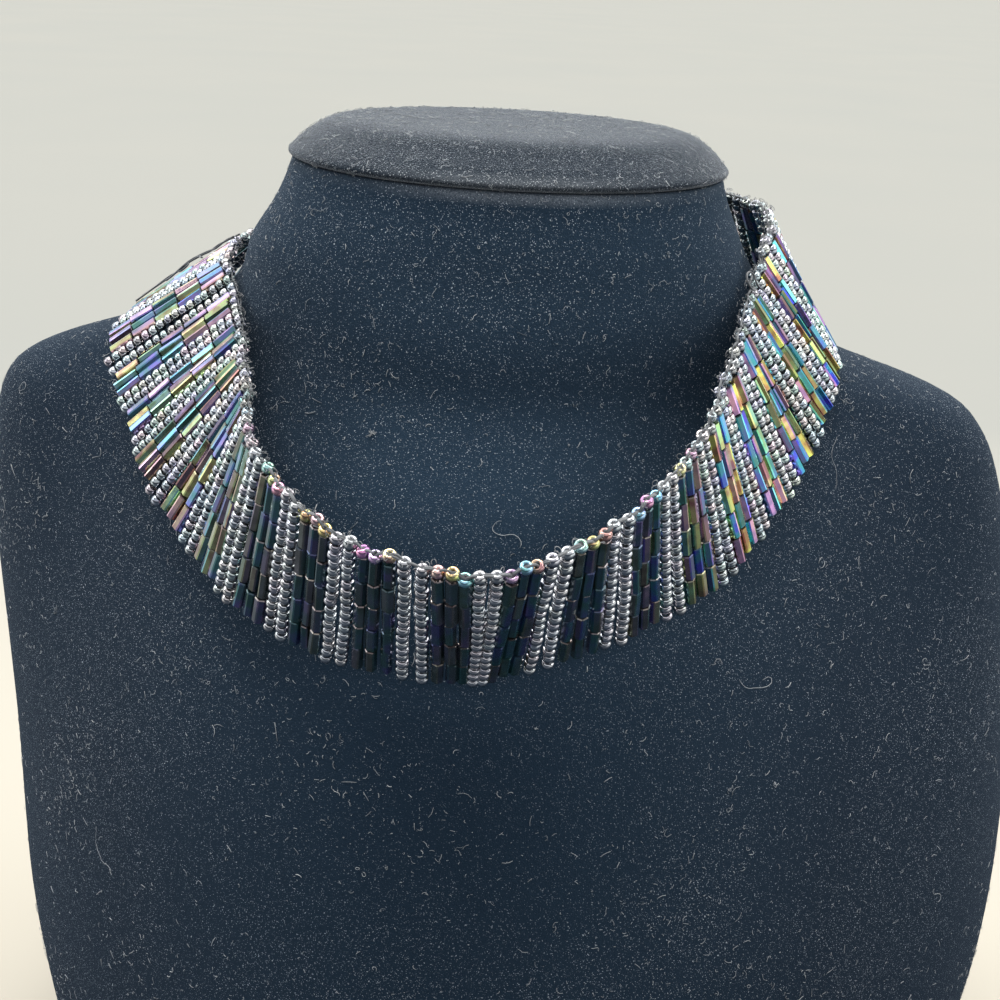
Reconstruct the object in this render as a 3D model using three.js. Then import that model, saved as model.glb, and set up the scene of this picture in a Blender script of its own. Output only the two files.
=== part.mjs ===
// Beaded choker on a velvet neck bust.
//
// Millimetres, +Z up, origin on the table under the middle of the bust, -Y is the wearer's front.
// The choker is a band woven in columns that run from its neck edge to its lower edge. A repeat is
// a pair of columns of small round seed beads and a triple of columns of long hex-cut bugle beads.
// One solid stands for each pair and for each triple, the bugles shown one by one.
import * as THREE from 'three';

// Beads and weave
const SEED = { width: 2.15, radius: 1.0, across: 2 };      // one column's pitch, and columns in a pair
const BUGLE = { width: 1.95, radius: 0.85, across: 3, pitch: 4.85, inColumn: 5 };
const REPEAT = SEED.across * SEED.width + BUGLE.across * BUGLE.width;
const PAIRS = 33;                                          // pairs of seed columns round the whole loop
const FIRST_SEEN_PAIR = 7;                                 // the pairs before it are joined in one solid
const LAST_SEEN_PAIR = 27;                                 // and so are those after this one
const COLUMN_LENGTH = 24.2;                                // first bead centre to last bead centre
const COLUMN_END = 0.75;                                   // half a bead past each of those centres
const PANEL_GAP = 0.4;                                     // free space between neighbouring solids
const VALLEY = 0.35;                                       // height of the furrow between two columns
const GROOVE = { depth: 0.45, half: 0.22 };                // where one bugle meets the next
const END_ROUND = { length: 0.4, scale: 0.6 };
const CLASP = { width: 5.4, thickness: 1.6, margin: 0.6 };

// Neck bust
const NECK_AXIS = { x: -2.8, y: 15.75 };                   // from the origin, which is under the middle
const NECK_TOP = 186.7;
const CAP_BASE = 187.0;
const AROUND = 36;                                         // points in each outline
const RING_STEP = 20;                                      // greatest height of one ring of facets

// The neck edge of the band, every second pair, round the loop from the clasp by the left to the
// clasp again. x and y are measured from the neck axis, z from the table. lean is how far the foot
// of a column is tilted away from the neck, slant how far it is tilted along the loop, in degrees.
const NECK_EDGE = [
  { pair: 1, x: -8.0, y: 35.2, z: 182.0, lean: 16, slant: 0 },
  { pair: 3, x: -28.1, y: 31.1, z: 178.3, lean: 24, slant: 0.5 },
  { pair: 5, x: -44.1, y: 18.6, z: 171.2, lean: 50.2, slant: 3.1 },
  { pair: 7, x: -47.6, y: -1.1, z: 168.5, lean: 56, slant: -5.5 },
  { pair: 9, x: -40.6, y: -19.9, z: 162.9, lean: 50, slant: -10.7 },
  { pair: 11, x: -34.2, y: -38.8, z: 159.2, lean: 36, slant: -10 },
  { pair: 13, x: -27.3, y: -57.3, z: 154.5, lean: 9, slant: -17 },
  { pair: 15, x: -12.7, y: -70.9, z: 150.0, lean: -15, slant: -17 },
  { pair: 17, x: 6.2, y: -75.6, z: 149.0, lean: -28, slant: 0 },
  { pair: 19, x: 21.8, y: -65.7, z: 153.0, lean: -15, slant: 18 },
  { pair: 21, x: 32.0, y: -49.3, z: 158.9, lean: 10, slant: 20 },
  { pair: 23, x: 37.3, y: -31.1, z: 165.5, lean: 26.8, slant: 15.8 },
  { pair: 25, x: 41.4, y: -11.7, z: 172.7, lean: 37.8, slant: 14.5 },
  { pair: 27, x: 44.8, y: 6.4, z: 179.2, lean: 31.9, slant: 12.7 },
  { pair: 29, x: 40.4, y: 25.3, z: 179.4, lean: 26.9, slant: 4.7 },
  { pair: 31, x: 22.6, y: 34.2, z: 182.3, lean: 18, slant: 0 },
  { pair: 33, x: 2.5, y: 35.8, z: 182.0, lean: 16, slant: 0 },
];

// Outlines of the bust from the base up. left and right are its reach each way, front and back the
// depths of the arcs that the shoulders make, chest and nape how far the middle stands out of them,
// spread the half width of that middle part, mid where the arcs meet, front to back.
const BUST_OUTLINES = [
  { z: 0, left: 86.5, right: 98.0, front: 62, chest: 6, back: 40, nape: 0, spread: 88, mid: -6 },
  { z: 39, left: 93.6, right: 105.0, front: 62, chest: 11, back: 40, nape: 0, spread: 88, mid: -2 },
  { z: 74, left: 94.8, right: 104.6, front: 57, chest: 18, back: 40, nape: 0, spread: 88, mid: 2 },
  { z: 104, left: 98.0, right: 101.0, front: 48, chest: 27, back: 39, nape: 0, spread: 85, mid: 6 },
  { z: 128, left: 99.4, right: 96.2, front: 36, chest: 34.5, back: 36, nape: 0, spread: 80, mid: 9 },
  { z: 140, left: 97.4, right: 92.0, front: 29, chest: 35, back: 31, nape: 3, spread: 75, mid: 10 },
  { z: 145, left: 93.4, right: 88.2, front: 26.5, chest: 34, back: 28, nape: 4, spread: 72, mid: 10.8 },
  { z: 149, left: 84.3, right: 84.4, front: 25, chest: 32, back: 26.3, nape: 4.6, spread: 70, mid: 12.4 },
  { z: 156, left: 60.1, right: 59.7, front: 26, chest: 23, back: 25.3, nape: 5, spread: 66, mid: 11 },
  { z: 162, left: 49.4, right: 49.6, front: 29, chest: 13, back: 27, nape: 4.6, spread: 62, mid: 5.2 },
  { z: 168, left: 44.8, right: 45.5, front: 31, chest: 6, back: 31, nape: 2, spread: 60, mid: 2.2 },
  { z: 173, left: 44.1, right: 41.7, front: 32, chest: 1, back: 33, nape: 0, spread: 60, mid: 0.7 },
  { z: 178, left: 39.9, right: 39.4, front: 31, chest: 0, back: 31, nape: 0, spread: 60, mid: 0 },
  { z: 183, left: 37.2, right: 36.9, front: 29, chest: 0, back: 29, nape: 0, spread: 60, mid: 0 },
  { z: 186, left: 36.2, right: 36.0, front: 28.2, chest: 0, back: 28.2, nape: 0, spread: 60, mid: 0 },
  { z: NECK_TOP, left: 35.2, right: 35.2, front: 27.4, chest: 0, back: 27.4, nape: 0, spread: 60, mid: 0 },
];

// The padded cap that closes the neck, from its underside up.
const CAP_OUTLINES = [
  { z: CAP_BASE, halfWidth: 34.9, halfDepth: 27.1 },
  { z: 187.7, halfWidth: 35.9, halfDepth: 28.1 },
  { z: 188.8, halfWidth: 36.3, halfDepth: 28.5 },
  { z: 189.9, halfWidth: 35.8, halfDepth: 28.0 },
  { z: 190.8, halfWidth: 34.6, halfDepth: 26.8 },
  { z: 191.6, halfWidth: 32.6, halfDepth: 24.8 },
  { z: 192.3, halfWidth: 29.4, halfDepth: 22.2 },
  { z: 192.95, halfWidth: 25.0, halfDepth: 18.8 },
  { z: 193.5, halfWidth: 19.2, halfDepth: 14.4 },
  { z: 193.9, halfWidth: 12.2, halfDepth: 9.2 },
  { z: 194.05, halfWidth: 5.5, halfDepth: 4.2 },
];

const VELVET = { color: 0x0b0c14, roughness: 0.95, metalness: 0.0 };
const SILVER_BEADS = { color: 0x6c737a, roughness: 0.25, metalness: 0.8 };
const IRIS_BEADS = { color: 0x1c2a3c, roughness: 0.2, metalness: 0.6 };
const CLASP_METAL = { color: 0x9a9c9e, roughness: 0.35, metalness: 1.0 };

const SLOPE_STEP = 0.05;

/** A table's named value between its rows, as a smooth curve. A closed table repeats after period. */
function tableValue(rows, key, name, at, period = 0) {
  const count = rows.length;
  const row = (index) => {
    if (!period) return rows[THREE.MathUtils.clamp(index, 0, count - 1)];
    const turns = Math.floor(index / count);
    const source = rows[index - turns * count];
    return { [key]: source[key] + turns * period, [name]: source[name] };
  };
  const first = rows[0][key];
  const position = period ? first + THREE.MathUtils.euclideanModulo(at - first, period) : at;
  let index = 0;
  while (index < count - (period ? 1 : 2) && row(index + 1)[key] <= position) index += 1;
  const [before, start, end, after] = [index - 1, index, index + 1, index + 2].map(row);
  const length = end[key] - start[key];
  const share = (position - start[key]) / length;
  const startSlope = (end[name] - before[name]) / (end[key] - before[key]);
  const endSlope = (after[name] - start[name]) / (after[key] - start[key]);
  return (2 * share ** 3 - 3 * share ** 2 + 1) * start[name]
    + (share ** 3 - 2 * share ** 2 + share) * length * startSlope
    + (3 * share ** 2 - 2 * share ** 3) * end[name]
    + (share ** 3 - share ** 2) * length * endSlope;
}

/** The neck edge at a position counted in pairs, from the neck axis and the table. */
function neckEdge(position) {
  const [x, y, z] = ['x', 'y', 'z'].map((name) => tableValue(NECK_EDGE, 'pair', name, position, PAIRS));
  return new THREE.Vector3(x, y, z);
}

/** The direction in which the column at a position runs down from the neck edge. */
function columnDirection(position) {
  const lean = THREE.MathUtils.degToRad(tableValue(NECK_EDGE, 'pair', 'lean', position, PAIRS));
  const slant = THREE.MathUtils.degToRad(tableValue(NECK_EDGE, 'pair', 'slant', position, PAIRS));
  const along = neckEdge(position + SLOPE_STEP).sub(neckEdge(position - SLOPE_STEP)).setZ(0).normalize();
  const outward = new THREE.Vector3(along.y, -along.x, 0);
  return outward.multiplyScalar(Math.sin(lean) * Math.cos(slant))
    .addScaledVector(along, Math.sin(slant))
    .setZ(-Math.cos(lean) * Math.cos(slant));
}

/** A point of the band's middle surface, down millimetres below the neck edge. */
function bandMiddle(position, down) {
  return neckEdge(position).addScaledVector(columnDirection(position), down);
}

/** A point of the band, out millimetres off its middle surface. */
function bandPoint(position, down, out) {
  const along = bandMiddle(position + SLOPE_STEP, down).sub(bandMiddle(position - SLOPE_STEP, down));
  const outward = columnDirection(position).cross(along).normalize();
  return bandMiddle(position, down).addScaledVector(outward, out);
}

/** A closed solid through rings of points, each with the same number of points, first ring lowest. */
function loft(rings, capTriangles) {
  const size = rings[0].length;
  const last = (rings.length - 1) * size;
  const triangles = [];
  for (let ring = 0; ring < rings.length - 1; ring += 1) {
    for (let point = 0; point < size; point += 1) {
      const a = ring * size + point;
      const b = ring * size + (point + 1) % size;
      triangles.push(a, b, a + size, b, b + size, a + size);
    }
  }
  for (const [a, b, c] of capTriangles) {
    triangles.push(a, c, b);
    triangles.push(last + a, last + b, last + c);
  }
  const geometry = new THREE.BufferGeometry();
  const places = rings.flat().flatMap((point) => point.toArray());
  geometry.setAttribute('position', new THREE.Float32BufferAttribute(places, 3));
  geometry.setIndex(triangles);
  return geometry;
}

/** Triangles that close a flat outline, given as points with x and y. */
function capOf(outline) {
  const flat = outline.map((point) => new THREE.Vector2(point.x, point.y));
  return THREE.ShapeUtils.triangulateShape(flat, []);
}

/** The front of one block of columns, from furrow to ridge to furrow, across the band. */
function ridges(block, isFirst, isLast) {
  const { kind, position } = block;
  const left = position * REPEAT - kind.across * kind.width / 2;
  const points = [];
  for (let column = 0; column <= kind.across; column += 1) {
    let across = left + column * kind.width;
    if (isFirst && column === 0) across += PANEL_GAP / 2;
    if (isLast && column === kind.across) across -= PANEL_GAP / 2;
    points.push({ across, out: VALLEY, ridge: false, kind });
    const middle = left + (column + 0.5) * kind.width;
    if (column < kind.across) points.push({ across: middle, out: kind.radius, ridge: true, kind });
  }
  return points;
}

/** The stretches of a column between its ends: where a ring of points lies and how full it is. */
function ringPlaces(withBugles) {
  const top = -COLUMN_END;
  const foot = COLUMN_LENGTH + COLUMN_END;
  const places = [{ down: top, scale: END_ROUND.scale }];
  if (withBugles) {
    const first = foot - BUGLE.inColumn * BUGLE.pitch;
    for (let joint = 0; joint < BUGLE.inColumn; joint += 1) {
      const down = first + joint * BUGLE.pitch;
      if (joint > 0) places.push({ down: down - GROOVE.half, scale: 1 });
      places.push({ down, scale: 1, groove: true });
      places.push({ down: down + GROOVE.half, scale: 1 });
    }
  } else {
    places.push({ down: top + END_ROUND.length, scale: 1 });
  }
  places.push({ down: foot - END_ROUND.length, scale: 1 }, { down: foot, scale: END_ROUND.scale });
  return places;
}

/** Triangles that close the end of a band solid: a fan over each block, and one on each ridge. */
function ridgedCap(blocks, count) {
  const triangles = [];
  let furrow = count - 1;
  blocks.forEach(({ kind }, block) => {
    triangles.push([block, block + 1, furrow - 2 * kind.across]);
    for (let column = kind.across; column > 0; column -= 1) {
      const right = furrow - 2 * column;
      triangles.push([block, right, right + 2], [right + 2, right, right + 1]);
    }
    furrow -= 2 * kind.across;
  });
  return triangles;
}

/** One solid of the band: blocks of columns side by side, flat at the back and ridged in front. */
function bandSolid(blocks) {
  const runs = blocks.map((block, index) => ridges(block, index === 0, index === blocks.length - 1));
  const front = runs.flatMap((run, index) => (index === 0 ? run : run.slice(1)));
  const back = [runs[0][0], ...runs.map((run) => run.at(-1))];
  const thick = Math.max(...blocks.map((block) => block.kind.radius));
  const withBugles = blocks.some((block) => block.kind === BUGLE);
  const rings = ringPlaces(withBugles).map((place) => {
    const backRing = back.map((point) => (
      bandPoint(point.across / REPEAT, place.down, -thick * place.scale)
    ));
    const frontRing = front.map((point) => {
      const cut = place.groove && point.ridge && point.kind === BUGLE ? GROOVE.depth : 0;
      return bandPoint(point.across / REPEAT, place.down, (point.out - cut) * place.scale);
    });
    return [...backRing, ...frontRing.reverse()];
  });
  return loft(rings, ridgedCap(blocks, rings[0].length));
}

/** The blocks from one pair of seed columns to another, with the bugle triples between them. */
function blocksBetween(firstPair, lastPair) {
  const blocks = [];
  for (let pair = firstPair; pair <= lastPair; pair += 1) {
    blocks.push({ kind: SEED, position: pair });
    if (pair < lastPair) blocks.push({ kind: BUGLE, position: pair + 0.5 });
  }
  return blocks;
}

/** The plain clasp that closes the band at the back of the neck. */
function claspSolid() {
  const half = CLASP.width / 2 / REPEAT;
  const thick = CLASP.thickness / 2;
  const middle = PAIRS + 0.5;
  const corners = [[-half, -thick], [half, -thick], [half, thick], [-half, thick]];
  const rings = [CLASP.margin, COLUMN_LENGTH - CLASP.margin].map((down) => (
    corners.map(([side, out]) => bandPoint(middle + side, down, out))
  ));
  return loft(rings, capOf(corners.map(([x, y]) => ({ x, y }))));
}

/** One level outline of the bust: arcs for the shoulders, with the chest and nape standing out. */
function bustRing(z) {
  const at = (name) => tableValue(BUST_OUTLINES, 'z', name, z);
  const points = [];
  for (let step = 0; step < AROUND; step += 1) {
    const angle = (2 * Math.PI * step) / AROUND;
    const side = Math.sin(angle);
    const x = at(Math.cos(angle) < 0 ? 'left' : 'right') * Math.cos(angle);
    const bump = Math.max(0, 1 - (x / at('spread')) ** 2) ** 2 * Math.min(1, 3 * Math.abs(side));
    const toFront = at('front') * side - at('chest') * bump;
    const toBack = at('back') * side + at('nape') * bump;
    points.push(new THREE.Vector3(x, at('mid') + (side < 0 ? toFront : toBack), z));
  }
  return points;
}

/** The body of the bust, from its flat base to the top of the neck. */
function bustSolid() {
  const rings = [];
  BUST_OUTLINES.slice(1).forEach((upper, index) => {
    const lower = BUST_OUTLINES[index];
    const steps = Math.ceil((upper.z - lower.z) / RING_STEP);
    for (let step = 0; step < steps; step += 1) {
      rings.push(bustRing(THREE.MathUtils.lerp(lower.z, upper.z, step / steps)));
    }
  });
  rings.push(bustRing(NECK_TOP));
  return loft(rings, capOf(rings[0]));
}

/** The padded cap on the neck, an oval cushion with a domed top. */
function capSolid() {
  const rings = CAP_OUTLINES.map(({ z, halfWidth, halfDepth }) => {
    const ring = new THREE.EllipseCurve(0, 0, halfWidth, halfDepth).getPoints(AROUND).slice(0, AROUND);
    return ring.map((point) => new THREE.Vector3(point.x, point.y, z));
  });
  return loft(rings, capOf(rings[0]));
}

const choker = new THREE.Group();
const display = new THREE.Group();
choker.position.set(NECK_AXIS.x, NECK_AXIS.y, 0);
display.position.copy(choker.position);

/** Adds a named mesh with its own material to a group. */
function addPiece(group, name, geometry, finish) {
  const mesh = new THREE.Mesh(geometry, new THREE.MeshStandardMaterial(finish));
  mesh.name = name;
  group.add(mesh);
}

addPiece(display, 'bust_body', bustSolid(), VELVET);
addPiece(display, 'neck_cap', capSolid(), VELVET);

addPiece(choker, 'back_left_beads', bandSolid(blocksBetween(1, FIRST_SEEN_PAIR - 1)), SILVER_BEADS);
addPiece(choker, 'back_right_beads', bandSolid(blocksBetween(LAST_SEEN_PAIR + 1, PAIRS)), SILVER_BEADS);
for (let pair = FIRST_SEEN_PAIR - 1; pair <= LAST_SEEN_PAIR; pair += 1) {
  const number = String(pair).padStart(2, '0');
  const seeds = { kind: SEED, position: pair };
  const bugles = { kind: BUGLE, position: pair + 0.5 };
  if (pair >= FIRST_SEEN_PAIR) addPiece(choker, `seed_panel_${number}`, bandSolid([seeds]), SILVER_BEADS);
  addPiece(choker, `bugle_panel_${number}`, bandSolid([bugles]), IRIS_BEADS);
}
addPiece(choker, 'clasp', claspSolid(), CLASP_METAL);

const assembly = new THREE.Group();
assembly.add(display, choker);
export default assembly;
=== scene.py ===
"""Dresses the beaded choker and the velvet neck bust that carries it.

The band is woven in columns that hang from its neck edge: pairs of columns of silvery seed beads and
triples of columns of hex-cut bugle beads with an iris coat. Every bead is a shape of its own here, on
its thread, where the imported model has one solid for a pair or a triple. Lengths are in metres; names
that end in _mm or _MM are millimetres, like the part's own.
"""

import logging
import math
from dataclasses import dataclass, field
from enum import Enum
from typing import Callable, Iterable, Sequence

import bpy
import numpy as np
from mathutils import Matrix, Vector
from mathutils.bvhtree import BVHTree


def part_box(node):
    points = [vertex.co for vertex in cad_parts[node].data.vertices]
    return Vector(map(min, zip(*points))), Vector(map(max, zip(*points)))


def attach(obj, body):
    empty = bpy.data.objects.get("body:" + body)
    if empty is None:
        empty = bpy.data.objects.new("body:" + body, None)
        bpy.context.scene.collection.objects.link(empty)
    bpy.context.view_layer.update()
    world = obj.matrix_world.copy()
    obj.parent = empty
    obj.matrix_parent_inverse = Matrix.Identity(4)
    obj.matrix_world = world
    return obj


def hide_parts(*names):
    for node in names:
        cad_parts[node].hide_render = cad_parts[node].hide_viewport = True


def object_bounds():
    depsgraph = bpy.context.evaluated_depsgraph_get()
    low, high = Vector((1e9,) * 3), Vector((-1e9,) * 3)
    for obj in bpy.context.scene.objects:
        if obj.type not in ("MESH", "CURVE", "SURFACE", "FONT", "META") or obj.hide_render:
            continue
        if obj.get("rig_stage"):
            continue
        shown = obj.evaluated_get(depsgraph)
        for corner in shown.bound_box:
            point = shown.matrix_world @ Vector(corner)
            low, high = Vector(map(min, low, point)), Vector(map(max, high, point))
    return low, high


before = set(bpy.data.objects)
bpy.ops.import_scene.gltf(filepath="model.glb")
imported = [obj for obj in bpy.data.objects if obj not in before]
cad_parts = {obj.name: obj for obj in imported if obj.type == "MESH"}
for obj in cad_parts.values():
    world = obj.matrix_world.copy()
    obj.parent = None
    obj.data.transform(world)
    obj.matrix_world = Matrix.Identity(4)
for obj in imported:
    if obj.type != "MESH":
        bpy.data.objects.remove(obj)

LOG = logging.getLogger("choker")
MM = 0.001
FULL_TURN = 2 * math.pi
UP = np.array([0.0, 0.0, 1.0])
BODY = "root"
TINT = "tint"

Colour = tuple[float, float, float]
Dice = np.random.Generator
Socket = bpy.types.NodeSocket
Sockets = bpy.types.bpy_prop_collection

# The weave, as the part has it.
PAIRS = 33
FIRST_SEEN_PAIR = 7
LAST_SEEN_PAIR = 27
COLUMN_LENGTH_MM = 24.2
COLUMN_END_MM = 0.75
SLOPE_STEP = 0.05  # Half the step over which slopes are taken, counted in pairs.


class Slot(Enum):
    """The record's material slots."""

    VELVET = "velvet"
    SILVER = "silver_seed_bead"
    IRIS = "iris_bugle_bead"
    THREAD = "thread"
    CLASP = "clasp_metal"


class Kind(Enum):
    """The two kinds of bead column: width in millimetres, how many side by side, and their spacing."""

    SEED = (2.15, 2, 2.38)
    BUGLE = (1.95, 3, 1.89)

    @property
    def pitch(self) -> float:
        """Width that one column takes up in the repeat, in millimetres."""
        return self.value[0]

    @property
    def across(self) -> int:
        """Number of columns side by side."""
        return self.value[1]

    @property
    def spacing(self) -> float:
        """Distance between the middles of two columns of one group, in millimetres."""
        return self.value[2]

    def positions(self, position: float) -> list[float]:
        """Where the columns of one group stand.

        Args:
            position: The group's middle, counted in pairs.

        Returns:
            Each column's position, counted in pairs.
        """
        middle = (self.across - 1) / 2
        return [position + (index - middle) * self.spacing / REPEAT_MM for index in range(self.across)]


REPEAT_MM = Kind.SEED.pitch * Kind.SEED.across + Kind.BUGLE.pitch * Kind.BUGLE.across


@dataclass(frozen=True)
class Station:
    """One row of the neck edge's table: where a pair of columns hangs and how it leans.

    Attributes:
        pair: The pair's number, round the loop from the clasp.
        x: Place to the right of the neck's axis, in millimetres.
        y: Place behind the neck's axis, in millimetres.
        z: Height, in millimetres.
        lean: How far the columns lean out from straight down, in degrees.
        slant: How far they slant along the loop, in degrees.
    """

    pair: float
    x: float
    y: float
    z: float
    lean: float
    slant: float


NECK_EDGE = (
    Station(pair=1, x=-8.0, y=35.2, z=182.0, lean=16, slant=0),
    Station(pair=3, x=-28.1, y=31.1, z=178.3, lean=24, slant=0.5),
    Station(pair=5, x=-44.1, y=18.6, z=171.2, lean=50.2, slant=3.1),
    Station(pair=7, x=-47.6, y=-1.1, z=168.5, lean=56, slant=-5.5),
    Station(pair=9, x=-40.6, y=-19.9, z=162.9, lean=50, slant=-10.7),
    Station(pair=11, x=-34.2, y=-38.8, z=159.2, lean=36, slant=-10),
    Station(pair=13, x=-27.3, y=-57.3, z=154.5, lean=9, slant=-17),
    Station(pair=15, x=-12.7, y=-70.9, z=150.0, lean=-15, slant=-17),
    Station(pair=17, x=6.2, y=-75.6, z=149.0, lean=-28, slant=0),
    Station(pair=19, x=21.8, y=-65.7, z=153.0, lean=-15, slant=18),
    Station(pair=21, x=32.0, y=-49.3, z=158.9, lean=10, slant=20),
    Station(pair=23, x=37.3, y=-31.1, z=165.5, lean=26.8, slant=15.8),
    Station(pair=25, x=41.4, y=-11.7, z=172.7, lean=37.8, slant=14.5),
    Station(pair=27, x=44.8, y=6.4, z=179.2, lean=31.9, slant=12.7),
    Station(pair=29, x=40.4, y=25.3, z=179.4, lean=26.9, slant=4.7),
    Station(pair=31, x=22.6, y=34.2, z=182.3, lean=18, slant=0),
    Station(pair=33, x=2.5, y=35.8, z=182.0, lean=16, slant=0),
)


@dataclass
class Weave:
    """The band's middle surface, addressed by position in pairs, distance down, and distance out.

    Attributes:
        axis: Where the neck's axis stands, in metres.
    """

    axis: np.ndarray

    def row(self, name: str, index: int) -> tuple[float, float]:
        """One value of the neck edge's table, whose rows repeat round the loop.

        Args:
            name: Name of the column.
            index: Number of the row, which may lie past either end.

        Returns:
            The row's position, counted in pairs, and its value.
        """
        turns, place = divmod(index, len(NECK_EDGE))
        return NECK_EDGE[place].pair + turns * PAIRS, getattr(NECK_EDGE[place], name)

    def value(self, name: str, position: float) -> float:
        """One named column of the table between its rows, as a smooth closed curve.

        Args:
            name: Name of the column.
            position: Place round the loop, counted in pairs.

        Returns:
            The value there, in millimetres or degrees.
        """
        first = NECK_EDGE[0].pair
        at = first + (position - first) % PAIRS
        index = sum(station.pair <= at for station in NECK_EDGE) - 1
        (t0, p0), (t1, p1), (t2, p2), (t3, p3) = (self.row(name, index + k) for k in (-1, 0, 1, 2))
        share = (at - t1) / (t2 - t1)
        start = (t2 - t1) * (p2 - p0) / (t2 - t0)
        end = (t2 - t1) * (p3 - p1) / (t3 - t1)
        return ((2 * share**3 - 3 * share**2 + 1) * p1 + (share**3 - 2 * share**2 + share) * start
                + (3 * share**2 - 2 * share**3) * p2 + (share**3 - share**2) * end)

    def edge(self, position: float) -> np.ndarray:
        """The neck edge at a position, in metres."""
        return np.array([self.value(name, position) for name in ("x", "y", "z")]) * MM + self.axis

    def down(self, position: float) -> np.ndarray:
        """The direction in which the column at a position runs down.

        Args:
            position: Place round the loop, counted in pairs.

        Returns:
            A unit vector.
        """
        lean = math.radians(self.value("lean", position))
        slant = math.radians(self.value("slant", position))
        along = self.edge(position + SLOPE_STEP) - self.edge(position - SLOPE_STEP)
        along[2] = 0.0
        along /= np.linalg.norm(along)
        outward = np.array([along[1], -along[0], 0.0])
        return (outward * math.sin(lean) * math.cos(slant) + along * math.sin(slant)
                - UP * math.cos(lean) * math.cos(slant))

    def middle(self, position: float, down_mm: float) -> np.ndarray:
        """A point of the middle surface, down_mm below the neck edge."""
        return self.edge(position) + self.down(position) * down_mm * MM

    def frame(self, position: float, down_mm: float) -> tuple[np.ndarray, np.ndarray]:
        """A point of the middle surface with its own axes.

        Args:
            position: Place round the loop, counted in pairs.
            down_mm: Distance below the neck edge.

        Returns:
            The point, and a matrix whose rows point outward, along the loop, and down the column.
        """
        down = self.down(position)
        ahead = self.middle(position + SLOPE_STEP, down_mm)
        behind = self.middle(position - SLOPE_STEP, down_mm)
        outward = np.cross(down, ahead - behind)
        outward /= np.linalg.norm(outward)
        return (ahead + behind) / 2, np.array([outward, np.cross(outward, down), down])

    def point(self, position: float, down_mm: float, out_mm: float) -> np.ndarray:
        """A point of the band, out_mm off its middle surface."""
        origin, axes = self.frame(position, down_mm)
        return origin + axes[0] * out_mm * MM


# ---------------------------------------------------------------- meshes


def deselect() -> None:
    """Leaves edit mode, if it is on, and deselects every object."""
    if bpy.context.object and bpy.context.object.mode != "OBJECT":
        bpy.ops.object.mode_set(mode="OBJECT")
    bpy.ops.object.select_all(action="DESELECT")


def activate(piece: bpy.types.Object) -> None:
    """Makes one object the only selected one and the active one."""
    deselect()
    piece.select_set(True)
    bpy.context.view_layer.objects.active = piece


def start_selection(kind: str) -> None:
    """Has edit mode select faces or edges, with none of them selected, and steps out of it."""
    bpy.ops.mesh.select_mode(type=kind)
    bpy.ops.mesh.select_all(action="DESELECT")
    bpy.ops.object.mode_set(mode="OBJECT")


def select_faces(piece: bpy.types.Object, test: Callable[[Vector, Vector], bool]) -> None:
    """Selects, in edit mode, the faces that pass a test.

    Args:
        piece: The object, which is in edit mode.
        test: Takes a face's centre and normal and says whether it is wanted.
    """
    start_selection("FACE")
    for polygon in piece.data.polygons:
        polygon.select = test(polygon.center, polygon.normal)
    bpy.ops.object.mode_set(mode="EDIT")


def select_edges(piece: bpy.types.Object, test: Callable[[Vector], bool]) -> None:
    """Selects, in edit mode, the edges whose two ends pass a test.

    Args:
        piece: The object, which is in edit mode.
        test: Takes an end's place and says whether it is wanted.
    """
    start_selection("EDGE")
    passed = [test(vertex.co) for vertex in piece.data.vertices]
    for edge in piece.data.edges:
        edge.select = passed[edge.vertices[0]] and passed[edge.vertices[1]]
    bpy.ops.object.mode_set(mode="EDIT")


def apply_modifier(piece: bpy.types.Object, kind: str, **settings: object) -> None:
    """Adds a modifier to a piece and applies it.

    Args:
        piece: The object to change.
        kind: Blender's name of the modifier's type.
        **settings: Values of the modifier's properties.
    """
    activate(piece)
    modifier = piece.modifiers.new(kind.lower(), kind)
    for name, value in settings.items():
        setattr(modifier, name, value)
    bpy.ops.object.modifier_apply(modifier=modifier.name)


@dataclass
class Shape:
    """A mesh held as arrays, so that copies of it can be joined.

    Attributes:
        places: Vertices, one row each.
        loops: Vertex numbers of all faces, one after another.
        sizes: Number of corners of each face.
    """

    places: np.ndarray
    loops: np.ndarray
    sizes: np.ndarray

    @classmethod
    def of(cls, piece: bpy.types.Object) -> "Shape":
        """Reads a mesh that was modelled in millimetres into arrays and removes the object.

        Args:
            piece: The object.

        Returns:
            The shape, in metres.
        """
        deselect()
        mesh = piece.data
        places = np.array([vertex.co[:] for vertex in mesh.vertices]) * MM
        loops = np.array([loop.vertex_index for loop in mesh.loops])
        sizes = np.array([polygon.loop_total for polygon in mesh.polygons])
        bpy.data.objects.remove(piece)
        bpy.data.meshes.remove(mesh)
        return cls(places, loops, sizes)

    def starts(self) -> np.ndarray:
        """Where each face begins among the loops."""
        return np.concatenate([[0], np.cumsum(self.sizes)[:-1]])

    def face_middles(self) -> np.ndarray:
        """The middle of each face, one row each."""
        return np.add.reduceat(self.places[self.loops], self.starts(), axis=0) / self.sizes[:, None]

    def copies(self, origins: np.ndarray, axes: np.ndarray, scales: np.ndarray) -> "Shape":
        """Joined copies of this shape.

        Args:
            origins: Where each copy goes, one row each.
            axes: For each copy, a matrix whose rows are its own axes.
            scales: For each copy, its scale along each of its own axes.

        Returns:
            One shape with all the copies.
        """
        local = self.places[None, :, :] * scales[:, None, :]
        placed = np.einsum("nvk,nkj->nvj", local, axes) + origins[:, None, :]
        loops = self.loops[None, :] + np.arange(len(origins))[:, None] * len(self.places)
        return Shape(placed.reshape(-1, 3), loops.reshape(-1), np.tile(self.sizes, len(origins)))


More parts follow.
